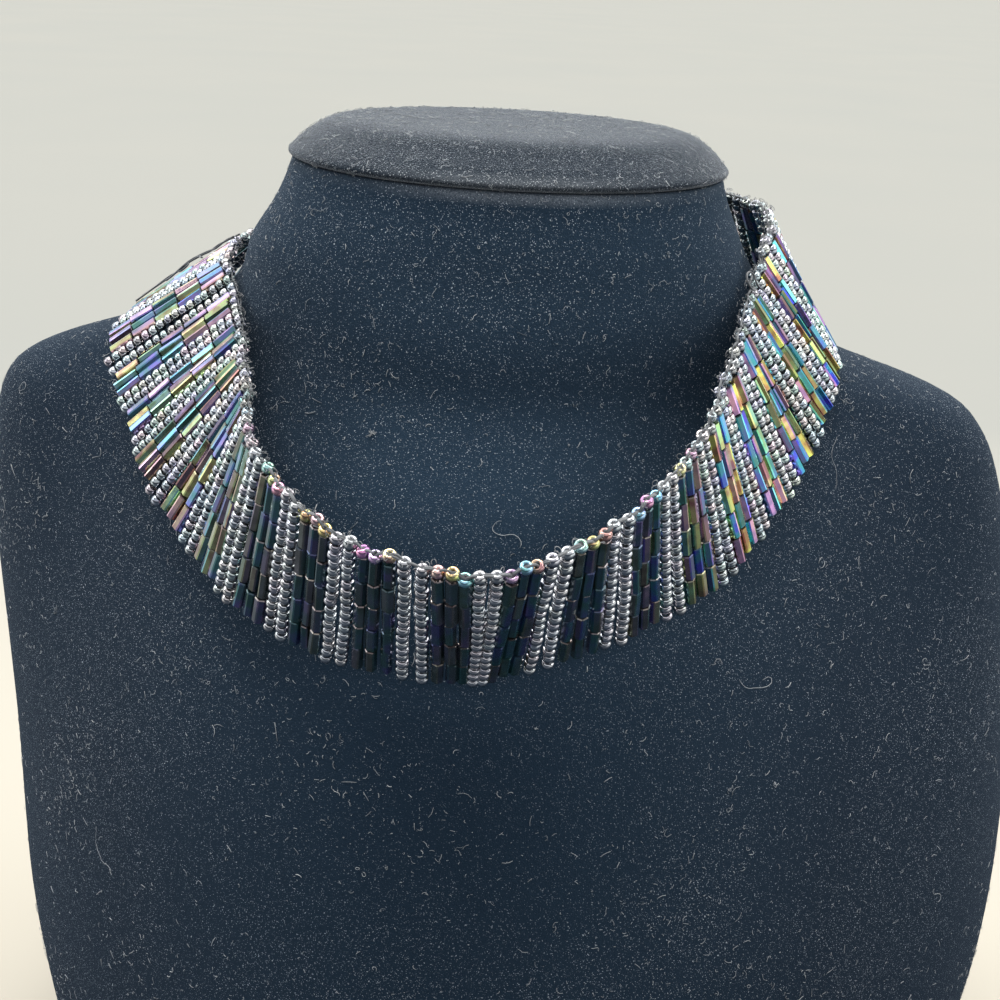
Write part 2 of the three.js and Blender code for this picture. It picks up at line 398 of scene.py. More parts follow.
def join(shapes: Iterable[Shape]) -> Shape:
    """One shape made of several.

    Args:
        shapes: What to join.

    Returns:
        The joined shape.
    """
    shapes = list(shapes)
    firsts = np.cumsum([0] + [len(shape.places) for shape in shapes[:-1]])
    return Shape(
        np.vstack([shape.places for shape in shapes]),
        np.concatenate([shape.loops + first for shape, first in zip(shapes, firsts)]),
        np.concatenate([shape.sizes for shape in shapes]),
    )


def strands(paths: np.ndarray, radii: np.ndarray | float, sides: int) -> Shape:
    """Thin closed tubes along many paths with the same number of points.

    Args:
        paths: Points of the paths, as an array of strands by points by three.
        radii: Radius of all strands, or of each strand.
        sides: Number of sides of a tube.

    Returns:
        All the tubes as one shape.
    """
    count, length, _ = paths.shape
    along = np.gradient(paths, axis=1)
    along /= np.linalg.norm(along, axis=2, keepdims=True) + 1e-12
    helper = np.where(np.abs(along[:, :1, 2:3]) > 0.9, np.array([1.0, 0.0, 0.0]), UP)
    side = np.cross(along, np.broadcast_to(helper, along.shape))
    side /= np.linalg.norm(side, axis=2, keepdims=True) + 1e-12
    lift = np.cross(side, along)
    angles = np.arange(sides) * FULL_TURN / sides
    ring = side[:, :, None, :] * np.cos(angles)[:, None] + lift[:, :, None, :] * np.sin(angles)[:, None]
    widths = np.broadcast_to(radii, count)[:, None, None, None]
    places = paths[:, :, None, :] + ring * widths
    firsts = np.arange(count)[:, None, None] * length * sides
    here = np.arange(sides)[None, None, :]
    after = (here + 1) % sides
    level = firsts + (np.arange(length - 1) * sides)[None, :, None]
    quads = np.stack([level + here, level + sides + here, level + sides + after, level + after], axis=-1)
    feet = firsts[:, 0] + np.arange(sides)
    heads = feet + (length - 1) * sides
    loops = np.concatenate([quads.reshape(-1), feet.reshape(-1), heads[:, ::-1].reshape(-1)])
    sizes = np.concatenate([np.full(quads.size // 4, 4), np.full(2 * count, sides)])
    return Shape(places.reshape(-1, 3), loops, sizes)


def smooth_path(points: np.ndarray, count: int) -> np.ndarray:
    """A smooth curve through some points.

    Args:
        points: What it passes through.
        count: Number of points on the curve.

    Returns:
        The curve's points.
    """
    padded = np.vstack([2 * points[0] - points[1], points, 2 * points[-1] - points[-2]])
    curve = []
    for place in np.linspace(0.0, len(points) - 1 - 1e-9, count):
        index = int(place)
        share = place - index
        a, b, c, d = padded[index:index + 4]
        curve.append(0.5 * (2 * b + (c - a) * share + (2 * a - 5 * b + 4 * c - d) * share**2
                            + (3 * b - a - 3 * c + d) * share**3))
    return np.array(curve)


def add_mesh(name: str, shape: Shape) -> bpy.types.Object:
    """Makes a mesh object at the origin from a shape, shaded smooth.

    Args:
        name: The object's name.
        shape: Its mesh as arrays.

    Returns:
        The object.
    """
    mesh = bpy.data.meshes.new(name)
    mesh.vertices.add(len(shape.places))
    mesh.vertices.foreach_set("co", shape.places.astype(np.float32).ravel())
    mesh.loops.add(len(shape.loops))
    mesh.loops.foreach_set("vertex_index", shape.loops.astype(np.int32))
    mesh.polygons.add(len(shape.sizes))
    mesh.polygons.foreach_set("loop_start", shape.starts().astype(np.int32))
    mesh.polygons.foreach_set("loop_total", shape.sizes.astype(np.int32))
    mesh.polygons.foreach_set("use_smooth", np.ones(len(shape.sizes), bool))
    mesh.update(calc_edges=True)
    mesh.validate()
    piece = bpy.data.objects.new(name, mesh)
    bpy.context.scene.collection.objects.link(piece)
    return piece


def add_tint(piece: bpy.types.Object, colours: np.ndarray) -> None:
    """Gives every face a colour.

    Args:
        piece: The mesh object.
        colours: One colour of three numbers for each face.
    """
    full = np.hstack([colours, np.ones((len(colours), 1))]).astype(np.float32)
    attribute = piece.data.attributes.new(TINT, "FLOAT_COLOR", "FACE")
    attribute.data.foreach_set("color", full.ravel())


def settle(piece: bpy.types.Object, slot: Slot, material: bpy.types.Material, *replaces: str) -> None:
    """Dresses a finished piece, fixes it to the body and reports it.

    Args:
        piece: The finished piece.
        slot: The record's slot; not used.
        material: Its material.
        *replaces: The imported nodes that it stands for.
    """
    piece.data.materials.clear()
    piece.data.materials.append(material)
    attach(piece, BODY)
    if replaces:
        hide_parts(*replaces)
    LOG.info("%s: %d faces", piece.name, len(piece.data.polygons))


# ---------------------------------------------------------------- finishes


@dataclass
class NodeSheet:
    """A node tree with short ways to add and join nodes.

    Attributes:
        tree: The tree.
    """

    tree: bpy.types.NodeTree

    def feed(self, socket: Socket, value: object) -> None:
        """Links an input to a socket, or sets it.

        Args:
            socket: The input.
            value: A socket, a number, a vector or a colour.
        """
        if isinstance(value, Socket):
            self.tree.links.new(value, socket)
        elif socket.type == "RGBA":
            socket.default_value = (*value, 1.0)
        else:
            socket.default_value = value

    def fill(self, node: bpy.types.Node, **values: object) -> None:
        """Sets a node's inputs and properties.

        Args:
            node: The node.
            **values: What each gets, named with underscores for spaces.
        """
        for name, value in values.items():
            label = name.replace("_", " ")
            if label in node.inputs:
                self.feed(node.inputs[label], value)
            else:
                setattr(node, name, value)

    def add(self, kind: str, **values: object) -> bpy.types.Node:
        """Adds a node.

        Args:
            kind: The node's type, without the leading ShaderNode.
            **values: Its inputs and properties, named with underscores for spaces.

        Returns:
            The node.
        """
        node = self.tree.nodes.new("ShaderNode" + kind)
        self.fill(node, **values)
        return node

    def math(self, operation: str, *values: object, kind: str = "Math") -> Socket:
        """The number that a Math or VectorMath node gives.

        Args:
            operation: Blender's name of the operation.
            *values: Numbers, vectors or sockets.
            kind: The node's type.

        Returns:
            The result's socket.
        """
        node = self.add(kind, operation=operation)
        for socket, value in zip(node.inputs, values):
            self.feed(socket, value)
        return node.outputs["Value"]

    def mix(self, factor: object, first: object, second: object) -> Socket:
        """A mix of two colours.

        Args:
            factor: A number or socket.
            first: A colour or socket.
            second: A colour or socket.

        Returns:
            The result's socket.
        """
        node = self.add("Mix", data_type="RGBA")
        for index, value in ((0, factor), (6, first), (7, second)):
            self.feed(node.inputs[index], value)
        return node.outputs[2]

    def spread(self, value: Socket, low: float, high: float, to_low: float = 0.0, to_high: float = 1.0,
               way: str = "LINEAR") -> Socket:
        """A number stretched from one range to another and clamped.

        Args:
            value: The number's socket.
            low: Start of the range that it comes from.
            high: End of that range.
            to_low: What low becomes.
            to_high: What high becomes.
            way: Blender's name of the way from one to the other.

        Returns:
            The result's socket.
        """
        return self.add("MapRange", interpolation_type=way, Value=value, From_Min=low, From_Max=high,
                        To_Min=to_low, To_Max=to_high).outputs[0]

    def noise(self, place: Socket, scale: float | Socket, detail: float,
              roughness: float = 0.5) -> Socket:
        """A noise from none to one.

        Args:
            place: The place that it is read at.
            scale: How fine it is.
            detail: How many finer layers it has.
            roughness: How strong those are.

        Returns:
            The noise's socket.
        """
        node = self.add("TexNoise", Vector=place, Scale=scale, Detail=detail, Roughness=roughness)
        return node.outputs[0]

    def peaks(self, noise: Socket, level: Socket, margin: float, rise: float) -> Socket:
        """A mask of the peaks of a noise.

        Args:
            noise: The noise's socket.
            level: The level that the peaks stand out of.
            margin: How far above the level the mask begins.
            rise: How far above that it is full.

        Returns:
            The mask.
        """
        above = self.math("SUBTRACT", noise, self.math("ADD", level, margin))
        return self.spread(above, 0.0, rise)


def grain_group() -> bpy.types.NodeTree:
    """Builds the group that gives fine grain: a mask with sharp grains, and a soft cloud mask.

    Returns:
        The group, which takes a scale for each of its two masks.
    """
    tree = bpy.data.node_groups.new("fine_grain", "ShaderNodeTree")
    masks = (("Grain", 2000.0, 3.0, 0.6), ("Cloud", 40.0, 2.0, 0.5))
    for mask, usual_scale, _, _ in masks:
        scale = tree.interface.new_socket(mask + " Scale", in_out="INPUT", socket_type="NodeSocketFloat")
        scale.default_value = usual_scale
        tree.interface.new_socket(mask, in_out="OUTPUT", socket_type="NodeSocketFloat")
    sheet = NodeSheet(tree)
    source = tree.nodes.new("NodeGroupInput")
    sink = tree.nodes.new("NodeGroupOutput")
    place = sheet.add("TexCoord").outputs["Object"]
    for mask, _, detail, roughness in masks:
        noise = sheet.noise(place, source.outputs[mask + " Scale"], detail, roughness)
        sheet.feed(sink.inputs[mask], sheet.spread(noise, 0.3, 0.7))
    return tree


@dataclass
class MaterialSheet(NodeSheet):
    """A material's nodes, with its shader and the two masks of the grain group.

    Attributes:
        shader: The Principled shader.
        grain: The mask with sharp grains.
        cloud: The soft mask.
    """

    shader: bpy.types.Node
    grain: Socket
    cloud: Socket

    def shade(self, **values: object) -> None:
        """Sets the shader's inputs, named with underscores for spaces."""
        self.fill(self.shader, **values)

    def rough(self, low: float, high: float) -> None:
        """Lets the grain vary the shader's roughness from low to high."""
        self.shade(Roughness=self.spread(self.grain, 0.0, 1.0, low, high))

    def bump(self, height: Socket, strength: float, depth: float) -> None:
        """Feeds a height into the shader's normal.

        Args:
            height: The height's socket.
            strength: How strong the bump is.
            depth: How deep it is, in metres.
        """
        bump = self.add("Bump", Strength=strength, Distance=depth, Height=height)
        self.shade(Normal=bump.outputs[0])


@dataclass(frozen=True, kw_only=True)
class Finish:
    """A finish, which makes its own material.

    Attributes:
        name: The material's name.
        grain_scale: How fine its sharp grains are, in grains per metre.
        cloud_scale: How fine its soft clouds are, in clouds per metre.
    """

    name: str
    grain_scale: float
    cloud_scale: float

    def make(self, group: bpy.types.NodeTree) -> bpy.types.Material:
        """Builds the material.

        Args:
            group: The grain group, which is placed in the material.

        Returns:
            The material.
        """
        material = bpy.data.materials.new(self.name)
        material.use_nodes = True
        tree = material.node_tree
        masks = NodeSheet(tree).add("Group", node_tree=group, Grain_Scale=self.grain_scale,
                                    Cloud_Scale=self.cloud_scale).outputs
        self.wire(MaterialSheet(tree, tree.nodes["Principled BSDF"], masks["Grain"], masks["Cloud"]))
        return material

    def wire(self, sheet: MaterialSheet) -> None:
        """Joins the material's nodes, which every finish does in its own way.

        Args:
            sheet: The material's nodes.
        """
        raise NotImplementedError


@dataclass(frozen=True, kw_only=True)
class VelvetFinish(Finish):
    """Black velvet: a dark pile that goes pale at grazing angles, with lint and specks in it.

    Attributes:
        deep: Colour of the pile where it is deepest.
        worn: Colour of its tips.
        side_shade_pile: Darker colour of the pile at the sides: painted shade against the side lights.
        side_shade: How far the sides are painted darker, with fewer specks there.
        paling: Paler colour that the pile takes on higher up.
        speck: Colour of the specks.
        speck_level: How high the noise stands where a speck begins; a lower level gives more specks.
        shaded_clean_spot: Middle of the darker, cleaner place in front of the neck, under the band, in
            metres: fewer specks, and painted shade.
        seam_dust_and_light_line: Middle, height and amount of the paler line along the seam in front, in
            metres: partly dust, partly painted light in the crease's shade.
        sheen: How strong the sheen is at grazing angles.
        sheen_spread: How rough the sheen is.
        sheen_tint: Its colour.
    """

    name: str = "black_velvet"
    grain_scale: float = 4200.0
    cloud_scale: float = 26.0
    deep: Colour = (0.0120, 0.0280, 0.0495)
    worn: Colour = (0.0225, 0.0445, 0.0710)
    side_shade_pile: Colour = (0.0085, 0.0180, 0.0325)
    side_shade: float = 0.75
    paling: Colour = (0.023, 0.048, 0.080)
    speck: Colour = (0.60, 0.66, 0.72)
    speck_level: float = 0.618
    shaded_clean_spot: tuple[float, float, float] = (0.0, -0.060, 0.124)
    seam_dust_and_light_line: tuple[float, float, float] = (0.0015, 0.1862, 0.24)
    sheen: float = 0.07
    sheen_spread: float = 0.35
    sheen_tint: Colour = (0.64, 0.80, 1.0)

    def wire(self, sheet: MaterialSheet) -> None:
        """Joins pile, specks, the paler pile higher up, painted shade and light, and sheen.

        Args:
            sheet: The material's nodes.
        """
        place = sheet.add("TexCoord").outputs["Object"]
        parts = sheet.add("SeparateXYZ", Vector=place).outputs
        # Painted shade and fewer specks: the pile is darker and cleaner round a spot under the front of the
        # band.
        from_shaded_clean = sheet.math("DISTANCE", place, self.shaded_clean_spot, kind="VectorMath")
        dust_and_light = sheet.spread(from_shaded_clean, 0.020, 0.060, 0.35, 1.0)
        # Painted shade: the pile is darker at the sides, where the side lights fall, and has fewer specks
        # there.
        side_shade_mask = sheet.spread(sheet.math("ABSOLUTE", parts["X"]), 0.018, 0.060, 0.0, self.side_shade)
        high_up = sheet.spread(parts["Z"], 0.150, 0.186, 0.0, 0.75)

        pile = sheet.mix(sheet.grain, self.deep, self.worn)
        pile = sheet.mix(sheet.math("MULTIPLY", high_up, sheet.grain), pile, self.paling)
        pile = sheet.mix(dust_and_light, self.deep, pile)
        pile = sheet.mix(side_shade_mask, pile, self.side_shade_pile)

        fine = sheet.noise(place, 5200.0, 1.0)
        large = sheet.noise(place, 2600.0, 2.0, 0.6)
        level = sheet.spread(sheet.cloud, 0.25, 0.75, self.speck_level + 0.022, self.speck_level)
        flecks = sheet.math("MAXIMUM", sheet.peaks(fine, level, 0.046, 0.04),
                            sheet.peaks(large, level, 0.070, 0.05))
        flecks = sheet.math("MULTIPLY", flecks, dust_and_light)
        # Partly dust, partly painted light: a paler line along the seam, in the crease's shade.
        flecks = sheet.math("MAXIMUM", flecks, self.seam_dust_and_light(sheet, parts))
        # Fewer specks at the sides, with the painted shade there.
        flecks = sheet.math("MULTIPLY", flecks, sheet.spread(side_shade_mask, 0.0, 1.0, 1.0, 0.70))

        grazing = sheet.add("LayerWeight", Blend=0.5).outputs["Facing"]
        sheen = sheet.spread(grazing, 0.10, 0.50, 0.25 * self.sheen, self.sheen)
        uneven = sheet.spread(fine, 0.35, 0.60, 0.80, 1.0)
        sheet.shade(Base_Color=sheet.mix(flecks, pile, self.speck), Roughness=0.95, Specular_IOR_Level=0.15,
                    Sheen_Weight=sheet.math("MULTIPLY", sheen, uneven), Sheen_Roughness=self.sheen_spread,
                    Sheen_Tint=self.sheen_tint)
        sheet.bump(sheet.math("ADD", sheet.grain, sheet.math("MULTIPLY", flecks, 0.6)), 0.5, 0.0002)

    def seam_dust_and_light(self, sheet: MaterialSheet, parts: Sockets) -> Socket:
        """Paler velvet along the seam in front, under the cap's edge or on it: partly dust, partly painted
        light in the crease's shade.

        Args:
            sheet: The material's nodes.
            parts: The place on the bust, as X, Y and Z sockets.

        Returns:
            How much paler it is.
        """
        middle, height, amount = self.seam_dust_and_light_line
        high = sheet.math("ABSOLUTE", sheet.math("SUBTRACT", parts["Z"], height))
        wide = sheet.math("ABSOLUTE", sheet.math("SUBTRACT", parts["X"], middle))
        paling = sheet.math("MULTIPLY", sheet.spread(high, 0.0002, 0.0014, amount, 0.0),
                          sheet.spread(wide, 0.008, 0.024, 1.0, 0.15))
        return sheet.math("MULTIPLY", paling, sheet.spread(sheet.grain, 0.3, 0.7, 0.5, 1.3))


@dataclass(frozen=True, kw_only=True)
class SeedFinish(Finish):
    """Opaque glass beads under a bright gunmetal coat, each in the shade of its tint.

    Attributes:
        worn: Colour where the coat is worn.
        roughness: Least roughness of the coat.
    """

    name: str = "silver_seed_glass"
    grain_scale: float = 1500.0
    cloud_scale: float = 260.0
    worn: Colour = (0.10, 0.11, 0.12)
    roughness: float = 0.06

    def wire(self, sheet: MaterialSheet) -> None:
        """Joins the bead's tint, its wear and its gloss.

        Args:
            sheet: The material's nodes.
        """
        tint = sheet.add("Attribute", attribute_name=TINT).outputs["Color"]
        worn = sheet.mix(sheet.math("MULTIPLY", sheet.cloud, 0.35), tint, self.worn)
        sheet.rough(self.roughness, self.roughness + 0.08)
        sheet.shade(Base_Color=worn, Metallic=1.0, Coat_Weight=0.3, Coat_Roughness=0.05)
        sheet.bump(sheet.cloud, 0.12, 0.0001)


@dataclass(frozen=True, kw_only=True)
class IrisFinish(Finish):
    """Dark cut glass under an iris coat, whose colour is the facet's tint and drifts a little along it.

    Attributes:
        roughness: Least roughness of the coat.
    """

    name: str = "iris_cut_glass"
    grain_scale: float = 1800.0
    cloud_scale: float = 330.0
    roughness: float = 0.10

    def wire(self, sheet: MaterialSheet) -> None:
        """Joins the facet's tint, its drift in hue and brightness, and its gloss.

        Args:
            sheet: The material's nodes.
        """
        tint = sheet.add("Attribute", attribute_name=TINT).outputs["Color"]
        drift = sheet.add("HueSaturation", Hue=sheet.spread(sheet.cloud, 0.25, 0.75, 0.435, 0.565),
                          Value=sheet.spread(sheet.cloud, 0.30, 0.70, 0.70, 1.22), Color=tint)
        lightness = sheet.add("RGBToBW", Color=tint).outputs[0]
        sheet.rough(self.roughness, self.roughness + 0.10)
        sheet.shade(Base_Color=drift.outputs[0], Metallic=sheet.spread(lightness, 0.05, 0.20, 0.60, 0.92),
                    Coat_Weight=0.7, Coat_Roughness=0.06)
        sheet.bump(sheet.cloud, 0.1, 0.0001)


@dataclass(frozen=True, kw_only=True)
class StrandFinish(Finish):
    """Thread, hair or lint: a soft fibre with a faint change of shade along it.

    Attributes:
        colour: Its darker colour.
        pale: Its paler colour.
        roughness: Its roughness.
    """

    grain_scale: float = 2400.0
    cloud_scale: float = 300.0
    colour: Colour
    pale: Colour
    roughness: float

    def wire(self, sheet: MaterialSheet) -> None:
        """Joins the fibre's two colours and its twist.

        Args:
            sheet: The material's nodes.
        """
        colour = sheet.mix(sheet.cloud, self.colour, self.pale)
        sheet.shade(Base_Color=colour, Roughness=self.roughness, Sheen_Weight=0.3)
        sheet.bump(sheet.grain, 0.3, 0.00005)


@dataclass(frozen=True, kw_only=True)
class ClaspFinish(Finish):
    """Plain silver-coloured metal, dulled and finely scratched.

    Attributes:
        colour: Colour of the metal.
        dull: Colour where it is dulled.
    """

    name: str = "dull_silver_metal"
    grain_scale: float = 3000.0
    cloud_scale: float = 150.0
    colour: Colour = (0.40, 0.41, 0.42)
    dull: Colour = (0.24, 0.24, 0.23)

    def wire(self, sheet: MaterialSheet) -> None:
        """Joins the metal's colours and its scratches.

        Args:
            sheet: The material's nodes.
        """
        dulled = sheet.math("MULTIPLY", sheet.cloud, 0.5)
        sheet.rough(0.28, 0.46)
        sheet.shade(Base_Color=sheet.mix(dulled, self.colour, self.dull), Metallic=1.0)
        sheet.bump(sheet.grain, 0.15, 0.00005)


# ---------------------------------------------------------------- beads


@dataclass
class SeedBead:
    """A round seed bead, modelled once, its hole along Z.

    Attributes:
        radius_mm: Outer radius.
        hole_mm: Radius of the hole at its narrowest.
        length_mm: Length along the hole.
        bulge: How much longer the bead is made round its middle.
        segments: Number of faces round the hole.
        rings: Number of faces round the wall.
    """

    radius_mm: float = 1.0
    hole_mm: float = 0.27
    length_mm: float = 1.36
    bulge: float = 1.06
    segments: int = 11
    rings: int = 8

    def model(self) -> Shape:
        """Models the bead large and reads it at its real size.

        Returns:
            The bead.
        """
        deselect()
        wall = (self.radius_mm - self.hole_mm) / 2
        bpy.ops.mesh.primitive_torus_add(
            major_segments=self.segments, minor_segments=self.rings,
            major_radius=self.hole_mm + wall, minor_radius=wall)
        piece = bpy.context.object
        bpy.ops.object.mode_set(mode="EDIT")
        bpy.ops.mesh.select_all(action="SELECT")
        bpy.ops.transform.resize(value=(1.0, 1.0, self.length_mm / (2 * wall)))
        ridge = self.hole_mm + 1.5 * wall
        select_faces(piece, lambda centre, normal: math.hypot(centre.x, centre.y) > ridge)
        bpy.ops.transform.resize(value=(1.0, 1.0, self.bulge))
        bpy.ops.object.mode_set(mode="OBJECT")
        return Shape.of(piece)


@dataclass
class BugleBead:
    """A hex-cut bugle bead, modelled once, its hole along Z.

    Attributes:
        radius_mm: Radius over the corners.
        hole_mm: Radius of the hole.
        length_mm: Length along the hole.
        chamfer_mm: Width of the worn edge at each end and along each corner.
        sides: Number of flat sides.
    """

    radius_mm: float = 0.97
    hole_mm: float = 0.36
    length_mm: float = 4.70
    chamfer_mm: float = 0.14
    sides: int = 6

    def model(self) -> Shape:
        """Models the bead large and reads it at its real size.

        Returns:
            The bead.
        """
        deselect()
        bpy.ops.mesh.primitive_cylinder_add(
            vertices=self.sides, radius=self.radius_mm, depth=self.length_mm, end_fill_type="NGON")
        piece = bpy.context.object
        bpy.ops.object.mode_set(mode="EDIT")
        select_faces(piece, lambda centre, normal: abs(normal.z) > 0.9)
        bpy.ops.mesh.inset(thickness=(self.radius_mm - self.hole_mm) * math.cos(math.pi / self.sides))
        bpy.ops.mesh.bridge_edge_loops()
        rim = (self.radius_mm + self.hole_mm) / 2
        select_edges(piece, lambda end: math.hypot(end.x, end.y) > rim)
        bpy.ops.mesh.bevel(offset=self.chamfer_mm, segments=1, affect="EDGES")
        bpy.ops.object.mode_set(mode="OBJECT")
        return Shape.of(piece)


class Silver(Enum):
    """Shades of the silvery coat."""

    STEEL = (0.62, 0.66, 0.70)
    GUNMETAL = (0.48, 0.53, 0.59)
    WARM = (0.68, 0.63, 0.64)
    GREEN = (0.54, 0.63, 0.61)


class Iris(Enum):
    """Shades of the iris coat, in the order in which one turns into the next."""

    GOLD = (0.66, 0.58, 0.26)
    SAGE = (0.42, 0.62, 0.38)
    TEAL = (0.20, 0.52, 0.50)
    SKY = (0.22, 0.46, 0.60)
    BLUE = (0.13, 0.28, 0.56)
    VIOLET = (0.34, 0.27, 0.52)
    ROSE = (0.60, 0.38, 0.48)
    COPPER = (0.56, 0.38, 0.22)


class EdgeIris(Enum):
    """Brighter shades of the round beads that top the bugle columns in front."""

    PINK = (0.80, 0.36, 0.62)
    BLUE = (0.18, 0.50, 0.80)
    CYAN = (0.30, 0.68, 0.76)
    LILAC = (0.62, 0.48, 0.72)
    YELLOW = (0.82, 0.70, 0.30)
    PEACH = (0.80, 0.58, 0.42)
    MINT = (0.44, 0.72, 0.66)
    ROSE = (0.80, 0.56, 0.60)


def iris_shade(turn: np.ndarray | float) -> np.ndarray:
    """The iris coat's colour at some turns of its cycle.

    Args:
        turn: Places in the cycle, where one is a whole cycle.

    Returns:
        One colour for each place.
    """
    cycle = np.array([member.value for member in Iris])
    place = (np.asarray(turn) % 1.0) * len(cycle)
    index = place.astype(int) % len(cycle)
    share = (place - np.floor(place))[..., None]
    return cycle[index] * (1 - share) + cycle[(index + 1) % len(cycle)] * share


def random_shade(options: type[Enum], dice: Dice) -> np.ndarray:
    """A shade drawn at random from an Enum of shades, a little changed.

    Args:
        options: The Enum.
        dice: The random numbers.

    Returns:
        A colour.
    """
    members = list(options)
    colour = np.array(members[dice.integers(len(members))].value)
    return np.clip(colour * dice.uniform(0.8, 1.15) * dice.uniform(0.92, 1.08, 3), 0.0, 1.0)


def turned(axes: np.ndarray, spin: float, tilt: float, toward: float) -> np.ndarray:
    """A bead's axes after it has spun on its hole and tilted.

    Args:
        axes: Rows that point outward, along the loop, and down the column.
        spin: Turn about the hole, in radians.
        tilt: Tilt of the hole, in radians.
        toward: Direction of the tilt about the hole, in radians.

    Returns:
        The turned axes.
    """
    hole = Vector(axes[2])
    hinge = Vector(axes[0]) * math.cos(toward) + Vector(axes[1]) * math.sin(toward)
    turn = Matrix.Rotation(tilt, 3, hinge) @ Matrix.Rotation(spin, 3, hole)
    return np.array([(turn @ Vector(row))[:] for row in axes])


@dataclass
class BeadRun:
    """Beads of one master shape that wait to be joined.

    Attributes:
        master: The bead's shape.
        origins: Where the beads go.
        axes: Their axes.
        scales: Their scales.
        tints: Their colours, one for each face.
    """

    master: Shape
    origins: list[np.ndarray] = field(default_factory=list)
    axes: list[np.ndarray] = field(default_factory=list)
    scales: list[np.ndarray] = field(default_factory=list)
    tints: list[np.ndarray] = field(default_factory=list)

    def add(self, origin: np.ndarray, axes: np.ndarray, width: float, length: float,
            tint: np.ndarray) -> None:
        """Adds a bead.

        Args:
            origin: Its centre.
            axes: Its axes, as rows.
            width: Its scale across the hole.
            length: Its scale along the hole.
            tint: Its colour, or one colour for each of its faces.
        """
        self.origins.append(origin)
        self.axes.append(axes)
        self.scales.append(np.array([width, width, length]))
        self.tints.append(np.broadcast_to(tint, (len(self.master.sizes), 3)))

    def shape(self) -> Shape:
        """All the beads as one shape."""
        return self.master.copies(np.array(self.origins), np.array(self.axes), np.array(self.scales))

    def colours(self) -> np.ndarray:
        """The colours of all the faces, in the order of shape."""
        return np.vstack(self.tints)


@dataclass
class Column:
    """One column of the band, with the small faults of handwork.

    Attributes:
        weave: The band's surface.
        position: Its place, counted in pairs.
        slip_mm: How far the whole column has slipped down its thread.
        sway_mm: How far it sways along the loop.
        phase: Where the sway starts, in radians.
        lift_mm: How far it stands off the middle surface.
        sway_turn: How fast the sway turns, in radians for each millimetre down.
    """

    weave: Weave
    position: float
    slip_mm: float
    sway_mm: float
    phase: float
    lift_mm: float
    sway_turn: float = 0.28

    @classmethod
    def draw(cls, weave: Weave, position: float, dice: Dice, slip_mm: float) -> "Column":
        """Draws a column's faults at random.

        Args:
            weave: The band's surface.
            position: The column's place, counted in pairs.
            dice: The random numbers.
            slip_mm: The greatest slip.

        Returns:
            The column.
        """
        return cls(weave, position, slip_mm=dice.uniform(-slip_mm, slip_mm),
                   sway_mm=dice.uniform(0.0, 0.16), phase=dice.uniform(0.0, FULL_TURN),
                   lift_mm=dice.uniform(-0.16, 0.22))

    def at(self, down_mm: float) -> tuple[np.ndarray, np.ndarray]:
        """A place on the column's thread.

        Args:
            down_mm: Distance below the neck edge, before the slip.

        Returns:
            The place, and its axes as rows.
        """
        sway = self.sway_mm * math.sin(self.phase + down_mm * self.sway_turn)
        origin, axes = self.weave.frame(self.position + sway / REPEAT_MM, down_mm + self.slip_mm)
        return origin + axes[0] * self.lift_mm * MM, axes


